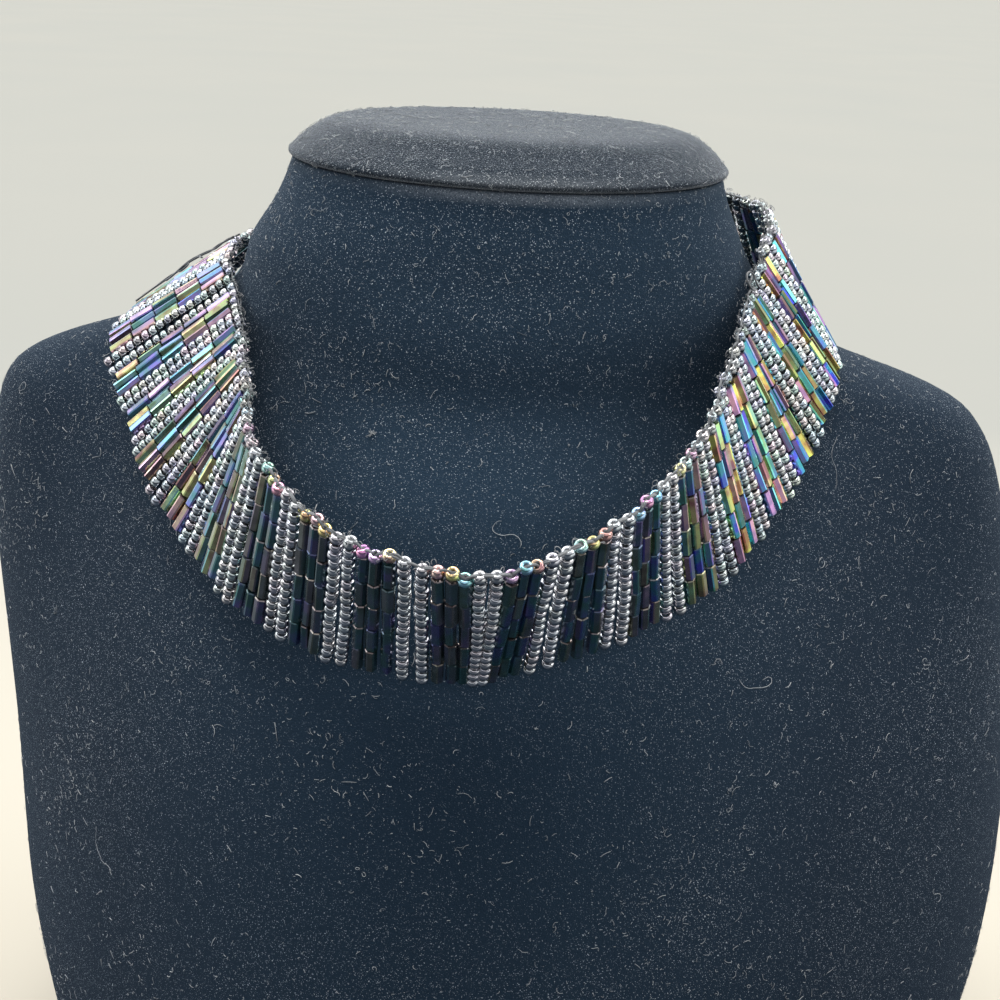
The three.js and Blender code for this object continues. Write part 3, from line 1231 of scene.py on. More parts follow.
@dataclass
class Band:
    """The woven band: all its beads, column by column.

    Attributes:
        weave: The band's surface.
        grain: The grain group.
        seed: Start of its random numbers.
        seeds_in_column: Seed beads in one column.
        seed_stretch: How much more than the band's height they take up.
        seed_slip_mm: The greatest slip of a seed column.
        scatter_mm: Usual play of a seed bead on its thread, each way.
        top_tip: How far the top seed beads in front tip back, in radians.
        bugles_in_column: Bugles in one column.
        bugle_pitch_mm: Distance from bugle to bugle.
        bugle_slip_mm: The greatest slip of a bugle column.
        longest_bugle: The greatest scale of a bugle along its hole.
        front_middle: Middle of the front, counted in pairs.
        front_reach: How far the front reaches to each side, counted in pairs.
        seen: First and last place that is seen from the front, counted in pairs.
        hidden_painted_dark: How dark the coat is painted out of sight at the back: painted shade.
        richness: How rich the coat's colours are left and right of the front's middle.
        flat_painted_light: Least and greatest brightness that a flat facet is painted with: painted light
            and shade.
        corner_painted_highlight: The same for the narrow facets along the corners, which are painted
            lighter: painted highlights.
        end_level: Brightness of a bugle's ends.
        painted_dark: The almost black colour that the coat is painted in front, where it mirrors a dark
            room, and out of sight at the back: painted shade.
        colour_in_painted_dark: How much of its iris colour is left in that painted shade.
        silver: Shade that the seed beads come near in front.
        silver_share: How near they come to it.
        hidden_silver_painted_shade: How bright the seed beads are painted out of sight at the back: painted
            shade.
        dull: Shade that the round beads over the bugles come near at the sides.
        worn_end: Colour of a bugle's end where the coat is gone, which shows only where the coat is painted
            dark.
    """

    weave: Weave
    grain: bpy.types.NodeTree
    seed: int = 11
    seeds_in_column: int = 17
    seed_stretch: float = 1.035
    seed_slip_mm: float = 0.28
    scatter_mm: float = 0.05
    top_tip: float = 0.30
    bugles_in_column: int = 5
    bugle_pitch_mm: float = 4.85
    bugle_slip_mm: float = 0.5
    longest_bugle: float = 1.02
    front_middle: float = 16.6
    front_reach: float = 4.8
    seen: tuple[float, float] = (5.2, 28.4)
    hidden_painted_dark: float = 0.85
    richness: tuple[float, float] = (1.0, 1.5)
    flat_painted_light: tuple[float, float] = (0.28, 1.20)
    corner_painted_highlight: tuple[float, float] = (0.8, 1.8)
    end_level: float = 0.3
    painted_dark: Colour = (0.024, 0.060, 0.098)
    colour_in_painted_dark: float = 0.13
    silver: Colour = (0.64, 0.64, 0.68)
    silver_share: float = 0.7
    hidden_silver_painted_shade: float = 0.5
    dull: Colour = (0.36, 0.40, 0.42)
    worn_end: Colour = (0.24, 0.21, 0.20)

    def __post_init__(self) -> None:
        """Models the beads and the finishes, and starts the random numbers."""
        self.dice = np.random.default_rng(self.seed)
        self.seed_bead = SeedBead().model()
        self.bugle_bead = BugleBead().model()
        self.seed_glass = SeedFinish().make(self.grain)
        self.iris_glass = IrisFinish().make(self.grain)
        self.columns: list[tuple[Column, np.ndarray]] = []

    def frontness(self, position: float) -> float:
        """How far a column belongs to the front of the band, from none to one."""
        return max(0.0, 1.0 - (abs(position - self.front_middle) / self.front_reach) ** 4)

    def painted_dark_share(self, position: float) -> float:
        """How far a column's iris coat is painted almost black: painted shade in front, where it mirrors a
        dark room, and out of sight at the back.
        """
        is_hidden = not self.seen[0] < position < self.seen[1]
        return max(self.frontness(position), self.hidden_painted_dark * is_hidden)

    def string_seeds(self, run: BeadRun, position: float) -> None:
        """Strings one column of seed beads.

        Args:
            run: Takes the beads.
            position: The column's place, counted in pairs.
        """
        dice = self.dice
        column = Column.draw(self.weave, position, dice, self.seed_slip_mm)
        front = self.frontness(position)
        pitch = COLUMN_LENGTH_MM / (self.seeds_in_column - 1) * self.seed_stretch
        for number in range(self.seeds_in_column):
            origin, axes = column.at(number * pitch + dice.normal(0.0, self.scatter_mm))
            origin = origin + axes[0] * dice.normal(0.0, self.scatter_mm) * MM
            origin = origin + axes[1] * dice.normal(0.0, self.scatter_mm) * MM
            if number == 0:
                axes = turned(axes, spin=0.0, tilt=-self.top_tip * front, toward=math.pi / 2)
            axes = turned(axes, spin=dice.uniform(0.0, FULL_TURN), tilt=dice.normal(0.0, 0.09),
                          toward=dice.uniform(0.0, FULL_TURN))
            width = dice.normal(1.0, 0.03)
            tint = random_shade(Silver, dice)
            tint = tint + (np.array(self.silver) - tint) * self.silver_share * front
            # Painted shade: seed beads out of sight at the back are painted darker.
            tint = tint * (self.hidden_silver_painted_shade if self.painted_dark_share(position) > front else 1.0)
            run.add(origin, axes, width, dice.normal(1.0, 0.05), tint)
        self.columns.append((column, column.at(0.0)[0]))

    def string_bugles(self, bugles: BeadRun, tops: BeadRun, position: float) -> None:
        """Strings one column of bugles under its round edge bead.

        Args:
            bugles: Takes the bugles.
            tops: Takes the round bead.
            position: The column's place, counted in pairs.
        """
        dice = self.dice
        column = Column.draw(self.weave, position, dice, self.bugle_slip_mm)
        front = self.frontness(position)
        origin, axes = column.at(0.0)
        top = origin + axes[0] * dice.uniform(-0.1, 0.3) * MM - axes[2] * dice.normal(0.0, 0.22) * MM
        axes = turned(axes, spin=0.0, tilt=dice.normal(0.0, 0.22), toward=dice.uniform(0.0, FULL_TURN))
        width = dice.normal(0.84 + 0.14 * front, 0.04)
        dull = 0.2 * iris_shade(dice.uniform()) + 0.8 * np.array(self.dull)
        tops.add(top, axes, width, 1.0, dull + (random_shade(EdgeIris, dice) - dull) * front)
        down = COLUMN_LENGTH_MM + COLUMN_END_MM - self.bugle_pitch_mm * self.bugles_in_column
        for _ in range(self.bugles_in_column):
            length = min(dice.normal(1.0, 0.018), self.longest_bugle)
            origin, axes = column.at(down + self.bugle_pitch_mm / 2)
            origin = origin + axes[0] * dice.normal(0.0, 0.06) * MM
            axes = turned(axes, spin=dice.uniform(0.0, math.pi / 3), tilt=dice.normal(0.0, 0.02),
                          toward=dice.uniform(0.0, FULL_TURN))
            width = dice.normal(1.0, 0.03)
            bugles.add(origin, axes, width, length, self.facet_tints(position))
            down += self.bugle_pitch_mm
        self.columns.append((column, top))

    def facet_tints(self, position: float) -> np.ndarray:
        """Colours for the faces of one bugle: neighbouring shades of one coat, facet by facet, with painted
        highlights and shade.

        Args:
            position: The column's place, counted in pairs.

        Returns:
            One colour for each face.
        """
        dice = self.dice
        facets = 2 * BugleBead.sides
        middles = self.bugle_bead.face_middles()
        angle = np.arctan2(middles[:, 1], middles[:, 0])
        swing = np.sin(angle + dice.uniform(0.0, FULL_TURN)) * dice.uniform(0.15, 0.5)
        # Painted highlights and shade: each flat facet is painted lighter or darker at random, and the
        # narrow corner facets lighter still.
        levels = dice.uniform(*self.flat_painted_light, facets)
        levels[1::2] = dice.uniform(*self.corner_painted_highlight, BugleBead.sides)
        level = levels[np.round(angle / FULL_TURN * facets).astype(int) % facets][:, None]
        colours = np.clip(iris_shade(dice.uniform() + swing) * level, 0.0, 1.0)
        grey = colours.mean(axis=1, keepdims=True)
        rich = self.richness[int(position > self.front_middle)]
        colours = np.clip(grey + (colours - grey) * rich, 0.0, 1.0)
        at_end = (np.abs(middles[:, 2]) > (BugleBead.length_mm / 2 - BugleBead.chamfer_mm) * MM)[:, None]
        colours = colours * np.where(at_end, self.end_level, 1.0)
        bare = at_end * (dice.uniform() < 0.5)
        # Painted shade: in front, where the coat mirrors a dark room, and out of sight at the back, it is
        # painted almost black and keeps a little of its colour. Bare ends keep their worn colour there.
        painted_dark = np.array(self.painted_dark)
        painted_dark = painted_dark + (np.array(self.worn_end) - painted_dark) * bare
        return colours + (self.colour_in_painted_dark * colours + painted_dark - colours) * self.painted_dark_share(position)

    def seed_piece(self, name: str, pairs: Sequence[int], replaces: str) -> None:
        """Makes one piece of the seed columns of some pairs.

        Args:
            name: The piece's name.
            pairs: The pairs' numbers.
            replaces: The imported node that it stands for.
        """
        run = BeadRun(self.seed_bead)
        for pair in pairs:
            for position in Kind.SEED.positions(pair):
                self.string_seeds(run, position)
        piece = add_mesh(name, run.shape())
        add_tint(piece, run.colours())
        settle(piece, Slot.SILVER, self.seed_glass, replaces)

    def bugle_piece(self, name: str, pairs: Sequence[int], replaces: str) -> None:
        """Makes one piece of the bugle columns that follow some pairs.

        Args:
            name: The piece's name.
            pairs: The numbers of the pairs that the triples follow.
            replaces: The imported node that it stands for.
        """
        bugles = BeadRun(self.bugle_bead)
        tops = BeadRun(self.seed_bead)
        for pair in pairs:
            for position in Kind.BUGLE.positions(pair + 0.5):
                self.string_bugles(bugles, tops, position)
        piece = add_mesh(name, join([bugles.shape(), tops.shape()]))
        is_round = np.arange(len(piece.data.polygons)) >= len(bugles.colours())
        piece.data.polygons.foreach_set("use_smooth", is_round)
        add_tint(piece, np.vstack([bugles.colours(), tops.colours()]))
        settle(piece, Slot.IRIS, self.iris_glass, replaces)

    def build(self) -> None:
        """Builds all the beads, round the loop from the clasp to the clasp."""
        left = range(1, FIRST_SEEN_PAIR)
        right = range(LAST_SEEN_PAIR + 1, PAIRS + 1)
        self.seed_piece("back_left_seed_beads", left, "back_left_beads")
        self.bugle_piece("back_left_bugle_beads", left[:-1], "back_left_beads")
        for pair in range(FIRST_SEEN_PAIR - 1, LAST_SEEN_PAIR + 1):
            if pair >= FIRST_SEEN_PAIR:
                self.seed_piece(f"seed_beads_{pair:02d}", [pair], f"seed_panel_{pair:02d}")
            self.bugle_piece(f"bugle_beads_{pair:02d}", [pair], f"bugle_panel_{pair:02d}")
        self.seed_piece("back_right_seed_beads", right, "back_right_beads")
        self.bugle_piece("back_right_bugle_beads", right[:-1], "back_right_beads")

    def in_order(self) -> list[tuple[Column, np.ndarray]]:
        """The columns, each with the place of its top bead, in order round the loop."""
        return sorted(self.columns, key=lambda entry: entry[0].position)


# ---------------------------------------------------------------- thread


@dataclass
class EdgeThread:
    """The thread inside the columns and along the neck edge, its loops, and the loose ends.

    Attributes:
        band: The band, already built.
        grain: The grain group.
        seed: Start of its random numbers.
        column_radius_mm: Radius of the thread in the columns.
        thread_radius_mm: Radius of the thread along the neck edge and of the loose ends.
        back_share: What part of that it has at the left and the back.
        back_until: Where it grows to its full radius, counted in pairs.
        loops_per_column: How many loops a column may have at its top.
        loop_radius_mm: Radius of the thin thread of the loops.
        loops_middle: Where there are fewest loops, counted in pairs.
        loops_reach: How far from there they are as many as anywhere, counted in pairs.
        nearest_mm: How far out of the band's middle the loose ends start.
        press: How far the loose ends are pressed towards the beads.
    """

    band: Band
    grain: bpy.types.NodeTree
    seed: int = 23
    column_radius_mm: float = 0.24
    thread_radius_mm: float = 0.17
    back_share: float = 0.45
    back_until: float = 13.0
    loops_per_column: int = 9
    loop_radius_mm: float = 0.05
    loops_middle: float = 17.0
    loops_reach: float = 6.0
    nearest_mm: float = 0.8
    press: float = 0.45

    def build(self) -> None:
        """Builds the thread pieces."""
        dice = np.random.default_rng(self.seed)
        dark = StrandFinish(name="dark_thread", colour=(0.02, 0.025, 0.03), pale=(0.06, 0.07, 0.08),
                            roughness=0.4).make(self.grain)
        clear = StrandFinish(name="clear_thread", colour=(0.12, 0.13, 0.14), pale=(0.42, 0.43, 0.44),
                             roughness=0.3).make(self.grain)
        grey = StrandFinish(name="grey_thread", colour=(0.07, 0.08, 0.09), pale=(0.20, 0.21, 0.22),
                            roughness=0.45).make(self.grain)
        settle(add_mesh("column_threads", self.columns()), Slot.THREAD, dark)
        settle(add_mesh("neck_edge_thread", self.spans(dice)), Slot.THREAD, grey)
        settle(add_mesh("neck_edge_loops", self.curls(dice)), Slot.THREAD, clear)
        settle(add_mesh("loose_thread_ends", self.loose_ends()), Slot.THREAD, dark)

    def columns(self) -> Shape:
        """The thread of every column, from its first bead to its last.

        Returns:
            The threads.
        """
        past = COLUMN_END_MM * 0.7
        places = np.linspace(-past, COLUMN_LENGTH_MM + past, 9)
        paths = [[column.at(down)[0] for down in places] for column, _ in self.band.columns]
        return strands(np.array(paths), self.column_radius_mm * MM, 5)

    def spans(self, dice: Dice) -> Shape:
        """Short spans from each top bead to the next, in two strands.

        Args:
            dice: The random numbers.

        Returns:
            The spans.
        """
        paths = []
        widths = []
        columns = self.band.in_order()
        shares = np.linspace(0.0, 1.0, 5)[:, None]
        for (first, start), (_, end) in zip(columns, columns[1:]):
            _, axes = first.at(0.0)
            front = self.band.frontness(first.position)
            for strand in range(2):
                rise = (0.66 - 0.7 * strand) * (1.0 - front) + 0.28 * front
                shift = (axes[0] * 0.18 * strand * front - axes[2] * rise) * MM
                bow = -axes[2] * (dice.uniform(-0.1, 0.2) + 0.5 * front) * MM
                bow = bow + axes[0] * dice.uniform(0.0, 0.2) * MM
                paths.append(start + shift + (end - start) * shares + bow * (4 * shares * (1 - shares)))
                share = 1.0 if first.position > self.back_until else self.back_share
                widths.append(self.thread_radius_mm * share * MM)
        return strands(np.array(paths), np.array(widths), 6)

    def curls(self, dice: Dice) -> Shape:
        """Small loops of thread that stand out of the neck edge.

        Args:
            dice: The random numbers.

        Returns:
            The loops.
        """
        paths = []
        turns = np.linspace(0.0, 1.0, 9)[:, None]
        for column, top in self.band.in_order():
            _, axes = column.at(0.0)
            side = min(1.0, abs(column.position - self.loops_middle) / self.loops_reach)
            for _ in range(self.loops_per_column):
                if dice.uniform() > 0.25 + 0.75 * side:
                    continue
                radius = dice.uniform(0.14, 0.46) * MM
                start = top - axes[2] * dice.uniform(0.1, 0.9) * MM
                start = start + axes[1] * dice.uniform(-1.0, 1.0) * MM
                start = start + axes[0] * dice.uniform(-0.8, 0.9) * MM
                one = axes[1] * math.cos(dice.uniform(0.0, FULL_TURN)) + axes[0] * dice.uniform(-0.8, 0.8)
                two = -axes[2] + axes[0] * dice.uniform(-0.9, 0.9)
                angle = turns * dice.uniform(3.0, 6.0)
                paths.append(start + radius * (one * (1 - np.cos(angle)) + two * np.sin(angle)))
        return strands(np.array(paths), self.loop_radius_mm * MM, 4)

    def loose_ends(self) -> Shape:
        """Dark loose threads over the ridge at the left, and a small loop at the right.

        Returns:
            The threads.
        """
        # Each point is a place in pairs, a distance down, and a distance out, both in millimetres.
        # The routes are pressed towards the beads, so that the threads lie close to them.
        routes = (
            ((6.32, -0.6, 0.8), (6.24, 2.2, 1.2), (6.18, 4.8, 1.7), (6.12, 7.5, 1.5), (6.10, 10.0, 2.1),
             (6.16, 12.5, 2.4), (6.12, 15.5, 1.9), (6.05, 18.5, 2.3), (6.16, 21.5, 1.7), (6.40, 24.4, 1.0)),
            ((6.36, 0.4, 1.3), (6.20, 3.0, 1.6), (6.22, 5.5, 1.2), (6.08, 8.0, 1.9), (6.04, 10.5, 2.6),
             (6.08, 12.8, 2.9), (6.20, 14.4, 2.2), (6.26, 16.5, 1.4), (6.10, 19.5, 1.8), (6.28, 23.6, 1.4)),
            ((6.28, 8.6, 1.2), (6.10, 10.2, 2.2), (6.00, 12.2, 3.0), (6.06, 14.2, 2.7), (6.20, 14.9, 1.9),
             (6.28, 13.8, 1.3), (6.26, 12.6, 1.5), (6.16, 12.4, 2.2), (6.06, 14.4, 2.4), (6.22, 18.0, 1.3)),
            ((24.60, -0.4, 0.4), (24.5, -1.5, 0.7), (24.55, -2.5, 0.5), (24.7, -2.9, 0.2),
             (24.85, -2.4, 0.1), (24.9, -1.4, 0.3), (24.8, -0.6, 0.6), (24.75, 0.2, 0.9), (24.8, 1.2, 1.2)),
        )
        paths = []
        for route in routes:
            points = [self.band.weave.point(pair, down, self.nearest_mm + self.press * out)
                      for pair, down, out in route]
            paths.append(smooth_path(np.array(points), 33))
        return strands(np.array(paths), self.thread_radius_mm * MM, 6)


# ---------------------------------------------------------------- clasp


@dataclass
class Clasp:
    """The plain plate that closes the band behind the neck.

    Attributes:
        weave: The band's surface.
        grain: The grain group.
        width_mm: Width along the loop.
        thickness_mm: Thickness.
        margin_mm: How much shorter than the columns it is, at each end.
        panel: Margin of the sunk panel outside, as a share of the width.
        sink_mm: How deep the panel is sunk.
        edge_mm: Width of the eased edges.
    """

    weave: Weave
    grain: bpy.types.NodeTree
    width_mm: float = 5.4
    thickness_mm: float = 1.6
    margin_mm: float = 0.6
    panel: float = 0.22
    sink_mm: float = 0.3
    edge_mm: float = 0.35

    def build(self) -> None:
        """Models the plate flat, then sets it in the band."""
        length = COLUMN_LENGTH_MM - 2 * self.margin_mm
        deselect()
        bpy.ops.mesh.primitive_cube_add(size=1.0)
        piece = bpy.context.object
        bpy.ops.object.mode_set(mode="EDIT")
        bpy.ops.mesh.select_all(action="SELECT")
        bpy.ops.transform.resize(value=(self.thickness_mm, self.width_mm, length))
        select_faces(piece, lambda centre, normal: normal.x > 0.9)
        bpy.ops.mesh.inset(thickness=self.width_mm * self.panel)
        bpy.ops.mesh.extrude_region_move(TRANSFORM_OT_translate={"value": (-self.sink_mm, 0.0, 0.0)})
        bpy.ops.object.mode_set(mode="OBJECT")
        apply_modifier(piece, "BEVEL", width=self.edge_mm, segments=3, limit_method="ANGLE")
        origin, axes = self.weave.frame(PAIRS + 0.5, COLUMN_LENGTH_MM / 2)
        placed = Shape.of(piece).copies(origin[None, :], axes[None, :, :], np.ones((1, 3)))
        settle(add_mesh("clasp_plate", placed), Slot.CLASP, ClaspFinish().make(self.grain), "clasp")


# ---------------------------------------------------------------- bust


@dataclass(frozen=True)
class PaddedRing:
    """How the padding moves one ring of a packed velvet node.

    Attributes:
        level: The ring's height, in millimetres.
        rise: How far it rises, in millimetres.
        grow: What its width and depth are multiplied by.
        back: How far it shifts to the back, in millimetres.
    """

    level: float
    rise: float
    grow: float
    back: float = 0.0


CAP_RINGS = (
    PaddedRing(194.05, -1.30, 1.10, 5.0),
    PaddedRing(193.9, -1.10, 1.10, 5.0),
    PaddedRing(193.5, -0.65, 1.09, 5.2),
    PaddedRing(192.95, -0.05, 1.08, 5.5),
    PaddedRing(192.3, 0.25, 1.048, 4.6),
    PaddedRing(191.6, -0.65, 1.025, 3.3),
    PaddedRing(190.8, -1.10, 1.012, 1.6),
    PaddedRing(189.9, -1.20, 1.003, 0.5),
    PaddedRing(188.8, -0.80, 1.010),
    PaddedRing(187.7, -0.38, 1.017),
    PaddedRing(187.0, -0.16, 1.010),
)
NECK_RINGS = (PaddedRing(186.7, 0.14, 1.018),)
LEVEL_PLAY = 1e-5  # How far a corner may be off its ring's level, in metres.


@dataclass(frozen=True)
class Tuft:
    """A tuft of lint.

    Attributes:
        place: Where it sits, in metres.
        fibres: Number of fibres.
        length_mm: Length of the longest.
    """

    place: tuple[float, float, float]
    fibres: int
    length_mm: float


TUFTS = (
    Tuft((-0.0183, -0.0225, 0.1519), 22, 0.95),
    Tuft((0.0101, -0.0468, 0.1185), 9, 0.40),
    Tuft((0.0262, -0.0418, 0.1172), 7, 0.30),
)


@dataclass(frozen=True)
class Hairs:
    """A kind of curly hair.

    Attributes:
        points: Number of points on one hair.
        steps_mm: The shortest and longest step from point to point.
        curl: How much the bend changes from step to step, in radians.
    """

    points: int
    steps_mm: tuple[float, float]
    curl: float


@dataclass
class VelvetBust:
    """The velvet body and its padded cap, with lint and hairs on them.

    Attributes:
        grain: The grain group.
        seed: Start of its random numbers.
        fibres: Number of short fibres of lint in all.
        curls: Number of short curly hairs in all.
        hairs: Number of long hairs, all on the body.
        fibre_shares: Parts of the fibres on the body and on the cap.
        curl_shares: Parts of the curls on the body and on the cap.
        curl: The short curly hairs.
        hair: The long hairs.
        patches: Number of patches where lint gathers.
        patch_mm: How wide a patch is.
        clumping: How strongly lint gathers in them.
        hair_radius_mm: Radius of the hairs and tufts.
    """

    grain: bpy.types.NodeTree
    seed: int = 5
    fibres: int = 9000
    curls: int = 1900
    hairs: int = 42
    fibre_shares: tuple[float, float] = (0.87, 0.13)
    curl_shares: tuple[float, float] = (0.70, 0.30)
    curl: Hairs = Hairs(points=8, steps_mm=(0.06, 0.27), curl=0.40)
    hair: Hairs = Hairs(points=22, steps_mm=(0.14, 0.50), curl=0.16)
    patches: int = 70
    patch_mm: float = 6.0
    clumping: float = 1.6
    hair_radius_mm: float = 0.045

    def build(self) -> None:
        """Builds the body, the cap, the lint and the hairs."""
        velvet = VelvetFinish().make(self.grain)
        cap_velvet = VelvetFinish(
            name="cap_velvet", deep=(0.005, 0.011, 0.020), worn=(0.011, 0.021, 0.034), side_shade=0.0,
            paling=(0.011, 0.021, 0.034), speck=(0.56, 0.60, 0.63), speck_level=0.606,
            seam_dust_and_light_line=(0.0015, 0.1880, 0.13), sheen=1.0, sheen_spread=0.23, sheen_tint=(0.90, 0.95, 1.0),
        ).make(self.grain)
        body = self.smooth_copy("bust_body", "velvet_body", foot=(2.5, 3), top=(0.4, 1), rings=NECK_RINGS)
        settle(body, Slot.VELVET, velvet, "bust_body")
        cap = self.smooth_copy("neck_cap", "velvet_cap", foot=(0.4, 1), top=(1.5, 1), rings=CAP_RINGS)
        settle(cap, Slot.VELVET, cap_velvet, "neck_cap")
        pale = StrandFinish(name="pale_lint", colour=(0.15, 0.17, 0.19), pale=(0.56, 0.59, 0.60),
                            roughness=0.8).make(self.grain)
        dice = np.random.default_rng(self.seed)
        for piece, fibre_share, curl_share in zip((body, cap), self.fibre_shares, self.curl_shares):
            lint = self.lint(piece, int(self.fibres * fibre_share), dice)
            settle(add_mesh(piece.name + "_lint", lint), Slot.THREAD, pale)
            curls = self.curly_hairs(piece, int(self.curls * curl_share), self.curl, dice)
            settle(add_mesh(piece.name + "_curls", curls), Slot.THREAD, pale)
        hairs = self.curly_hairs(body, self.hairs, self.hair, dice)
        tufts = [self.tuft(body, tuft, dice) for tuft in TUFTS]
        settle(add_mesh("velvet_body_hairs", join([hairs, *tufts])), Slot.THREAD, pale)

    def smooth_copy(self, node: str, name: str, foot: tuple[float, int], top: tuple[float, int],
                    rings: Sequence[PaddedRing]) -> bpy.types.Object:
        """A smooth copy of a packed velvet node, with rounded rims at its flat ends.

        Args:
            node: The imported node.
            name: The copy's name.
            foot: Step in millimetres and number of the rings inside the edge of its foot.
            top: The same for its top.
            rings: Rings of the node that the padding moves.

        Returns:
            The copy.
        """
        low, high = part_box(node)
        middle = (low + high) / 2
        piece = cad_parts[node].copy()
        piece.data = piece.data.copy()
        piece.name = name
        piece.parent = None
        for key in [key for key in piece.keys() if key.startswith("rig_")]:
            del piece[key]
        bpy.context.scene.collection.objects.link(piece)
        activate(piece)
        bpy.ops.object.mode_set(mode="EDIT")
        bpy.ops.mesh.select_all(action="SELECT")
        bpy.ops.mesh.remove_doubles(threshold=1e-6)
        bpy.ops.mesh.dissolve_limited(angle_limit=math.radians(0.05))
        bpy.ops.mesh.tris_convert_to_quads(
            face_threshold=math.radians(60), shape_threshold=math.radians(80))
        for level, (step_mm, count) in ((low.z, foot), (high.z, top)):
            select_faces(piece, lambda centre, normal: abs(centre.z - level) < LEVEL_PLAY)
            for _ in range(count):
                bpy.ops.mesh.inset(thickness=step_mm * MM)
        for ring in rings:
            level = ring.level * MM
            select_edges(piece, lambda end: abs(end.z - level) < LEVEL_PLAY)
            bpy.ops.transform.resize(value=(ring.grow, ring.grow, 1.0),
                                     center_override=(middle.x, middle.y, level))
            bpy.ops.transform.translate(value=(0.0, ring.back * MM, ring.rise * MM))
        bpy.ops.object.mode_set(mode="OBJECT")
        apply_modifier(piece, "SUBSURF", levels=2, render_levels=2)
        bpy.ops.object.shade_smooth()
        deselect()
        return piece

    def spots(self, piece: bpy.types.Object, count: int, dice: Dice) -> tuple[np.ndarray, np.ndarray]:
        """Random places on a piece, more of them where lint falls and gathers.

        Args:
            piece: The piece.
            count: Number of places.
            dice: The random numbers.

        Returns:
            The places and their normals.
        """
        mesh = piece.data
        mesh.calc_loop_triangles()
        places = np.array([vertex.co[:] for vertex in mesh.vertices])
        corners = places[np.array([triangle.vertices[:] for triangle in mesh.loop_triangles])]
        normals = np.cross(corners[:, 1] - corners[:, 0], corners[:, 2] - corners[:, 0])
        areas = np.linalg.norm(normals, axis=1)
        normals /= areas[:, None] + 1e-15
        not_under = 0.25 + 0.75 * (normals[:, 2] > -0.6)
        in_front = 1.0 + 0.9 * (normals[:, 1] < 0.2)
        weights = areas * not_under * in_front
        middles = corners[dice.choice(len(areas), self.patches, p=weights / weights.sum()), 0]
        apart = np.linalg.norm(corners[:, None, 0] - middles[None], axis=2)
        crowd = np.exp(-0.5 * (apart / (self.patch_mm * MM)) ** 2).sum(axis=1)
        weights = weights * (1.0 + self.clumping * crowd / crowd.mean())
        chosen = dice.choice(len(areas), count, p=weights / weights.sum())
        share = np.sort(dice.uniform(size=(count, 2)), axis=1)
        mixes = np.stack([share[:, 0], share[:, 1] - share[:, 0], 1 - share[:, 1]], axis=1)
        return np.einsum("nk,nkj->nj", mixes, corners[chosen]), normals[chosen]

    def tuft(self, piece: bpy.types.Object, tuft: Tuft, dice: Dice) -> Shape:
        """A tuft of fibres that stand out all round one place.

        Args:
            piece: The piece that it sits on.
            tuft: The tuft.
            dice: The random numbers.

        Returns:
            The fibres.
        """
        tree = BVHTree.FromObject(piece, bpy.context.evaluated_depsgraph_get())
        found, facing, _, _ = tree.find_nearest(Vector(tuft.place))
        facing = np.array(facing)
        ways = dice.normal(size=(tuft.fibres, 3))
        ways += facing * (0.5 - ways @ facing)[:, None]
        ways /= np.linalg.norm(ways, axis=1, keepdims=True)
        length = dice.uniform(0.4, 1.0, tuft.fibres)[:, None, None] * tuft.length_mm * MM
        steps = np.linspace(0.05, 1.0, 5)[None, :, None]
        bend = dice.normal(0.0, 0.35, (tuft.fibres, 1, 3)) * steps**2
        paths = np.array(found) + facing * 0.1 * MM + (ways[:, None, :] * steps + bend) * length
        return strands(paths, self.hair_radius_mm * MM, 3)

    def lint(self, piece: bpy.types.Object, count: int, dice: Dice) -> Shape:
        """Short curved fibres that lie on a piece.

        Args:
            piece: The piece.
            count: Number of fibres.
            dice: The random numbers.

        Returns:
            The fibres.
        """
        origins, normals = self.spots(piece, count, dice)
        ahead = np.cross(normals, dice.normal(size=(count, 3)))
        ahead /= np.linalg.norm(ahead, axis=1, keepdims=True)
        aside = np.cross(normals, ahead)
        length = dice.gamma(1.3, 0.36, count).clip(0.12, 2.8)[:, None] * MM
        bend = dice.normal(0.0, 1.3, count)[:, None]
        steps = np.linspace(-0.5, 0.5, 4)[None, :]
        forward = length * steps * np.cos(bend * steps * 0.5)
        sideways = length * 0.5 * bend * steps**2
        paths = (origins[:, None, :] + ahead[:, None, :] * forward[:, :, None]
                 + aside[:, None, :] * sideways[:, :, None] + normals[:, None, :] * (0.09 * MM))
        return strands(paths, dice.uniform(0.032, 0.066, count) * MM, 3)

    def curly_hairs(self, piece: bpy.types.Object, count: int, kind: Hairs, dice: Dice) -> Shape:
        """Curly hairs that lie on a piece.

        Args:
            piece: The piece.
            count: Number of hairs.
            kind: What they are like.
            dice: The random numbers.

        Returns:
            The hairs.
        """
        tree = BVHTree.FromObject(piece, bpy.context.evaluated_depsgraph_get())
        origins, normals = self.spots(piece, count, dice)
        paths = []
        for place, normal in zip(origins, normals):
            heading = np.cross(normal, dice.normal(size=3))
            heading /= np.linalg.norm(heading)
            step = dice.uniform(*kind.steps_mm) * MM
            turn = dice.normal(0.0, 1.4 * kind.curl)
            path = []
            for _ in range(kind.points):
                found, facing, _, _ = tree.find_nearest(Vector(place))
                found, facing = np.array(found), np.array(facing)
                path.append(found + facing * dice.uniform(0.10, 0.28) * MM)
                turn = 0.82 * turn + dice.normal(0.0, kind.curl)
                heading = heading * math.cos(turn) + np.cross(facing, heading) * math.sin(turn)
                heading -= facing * heading.dot(facing)
                heading /= np.linalg.norm(heading)
                place = found + heading * step
            paths.append(path)
        return strands(np.array(paths), self.hair_radius_mm * MM, 3)


# ---------------------------------------------------------------- stage


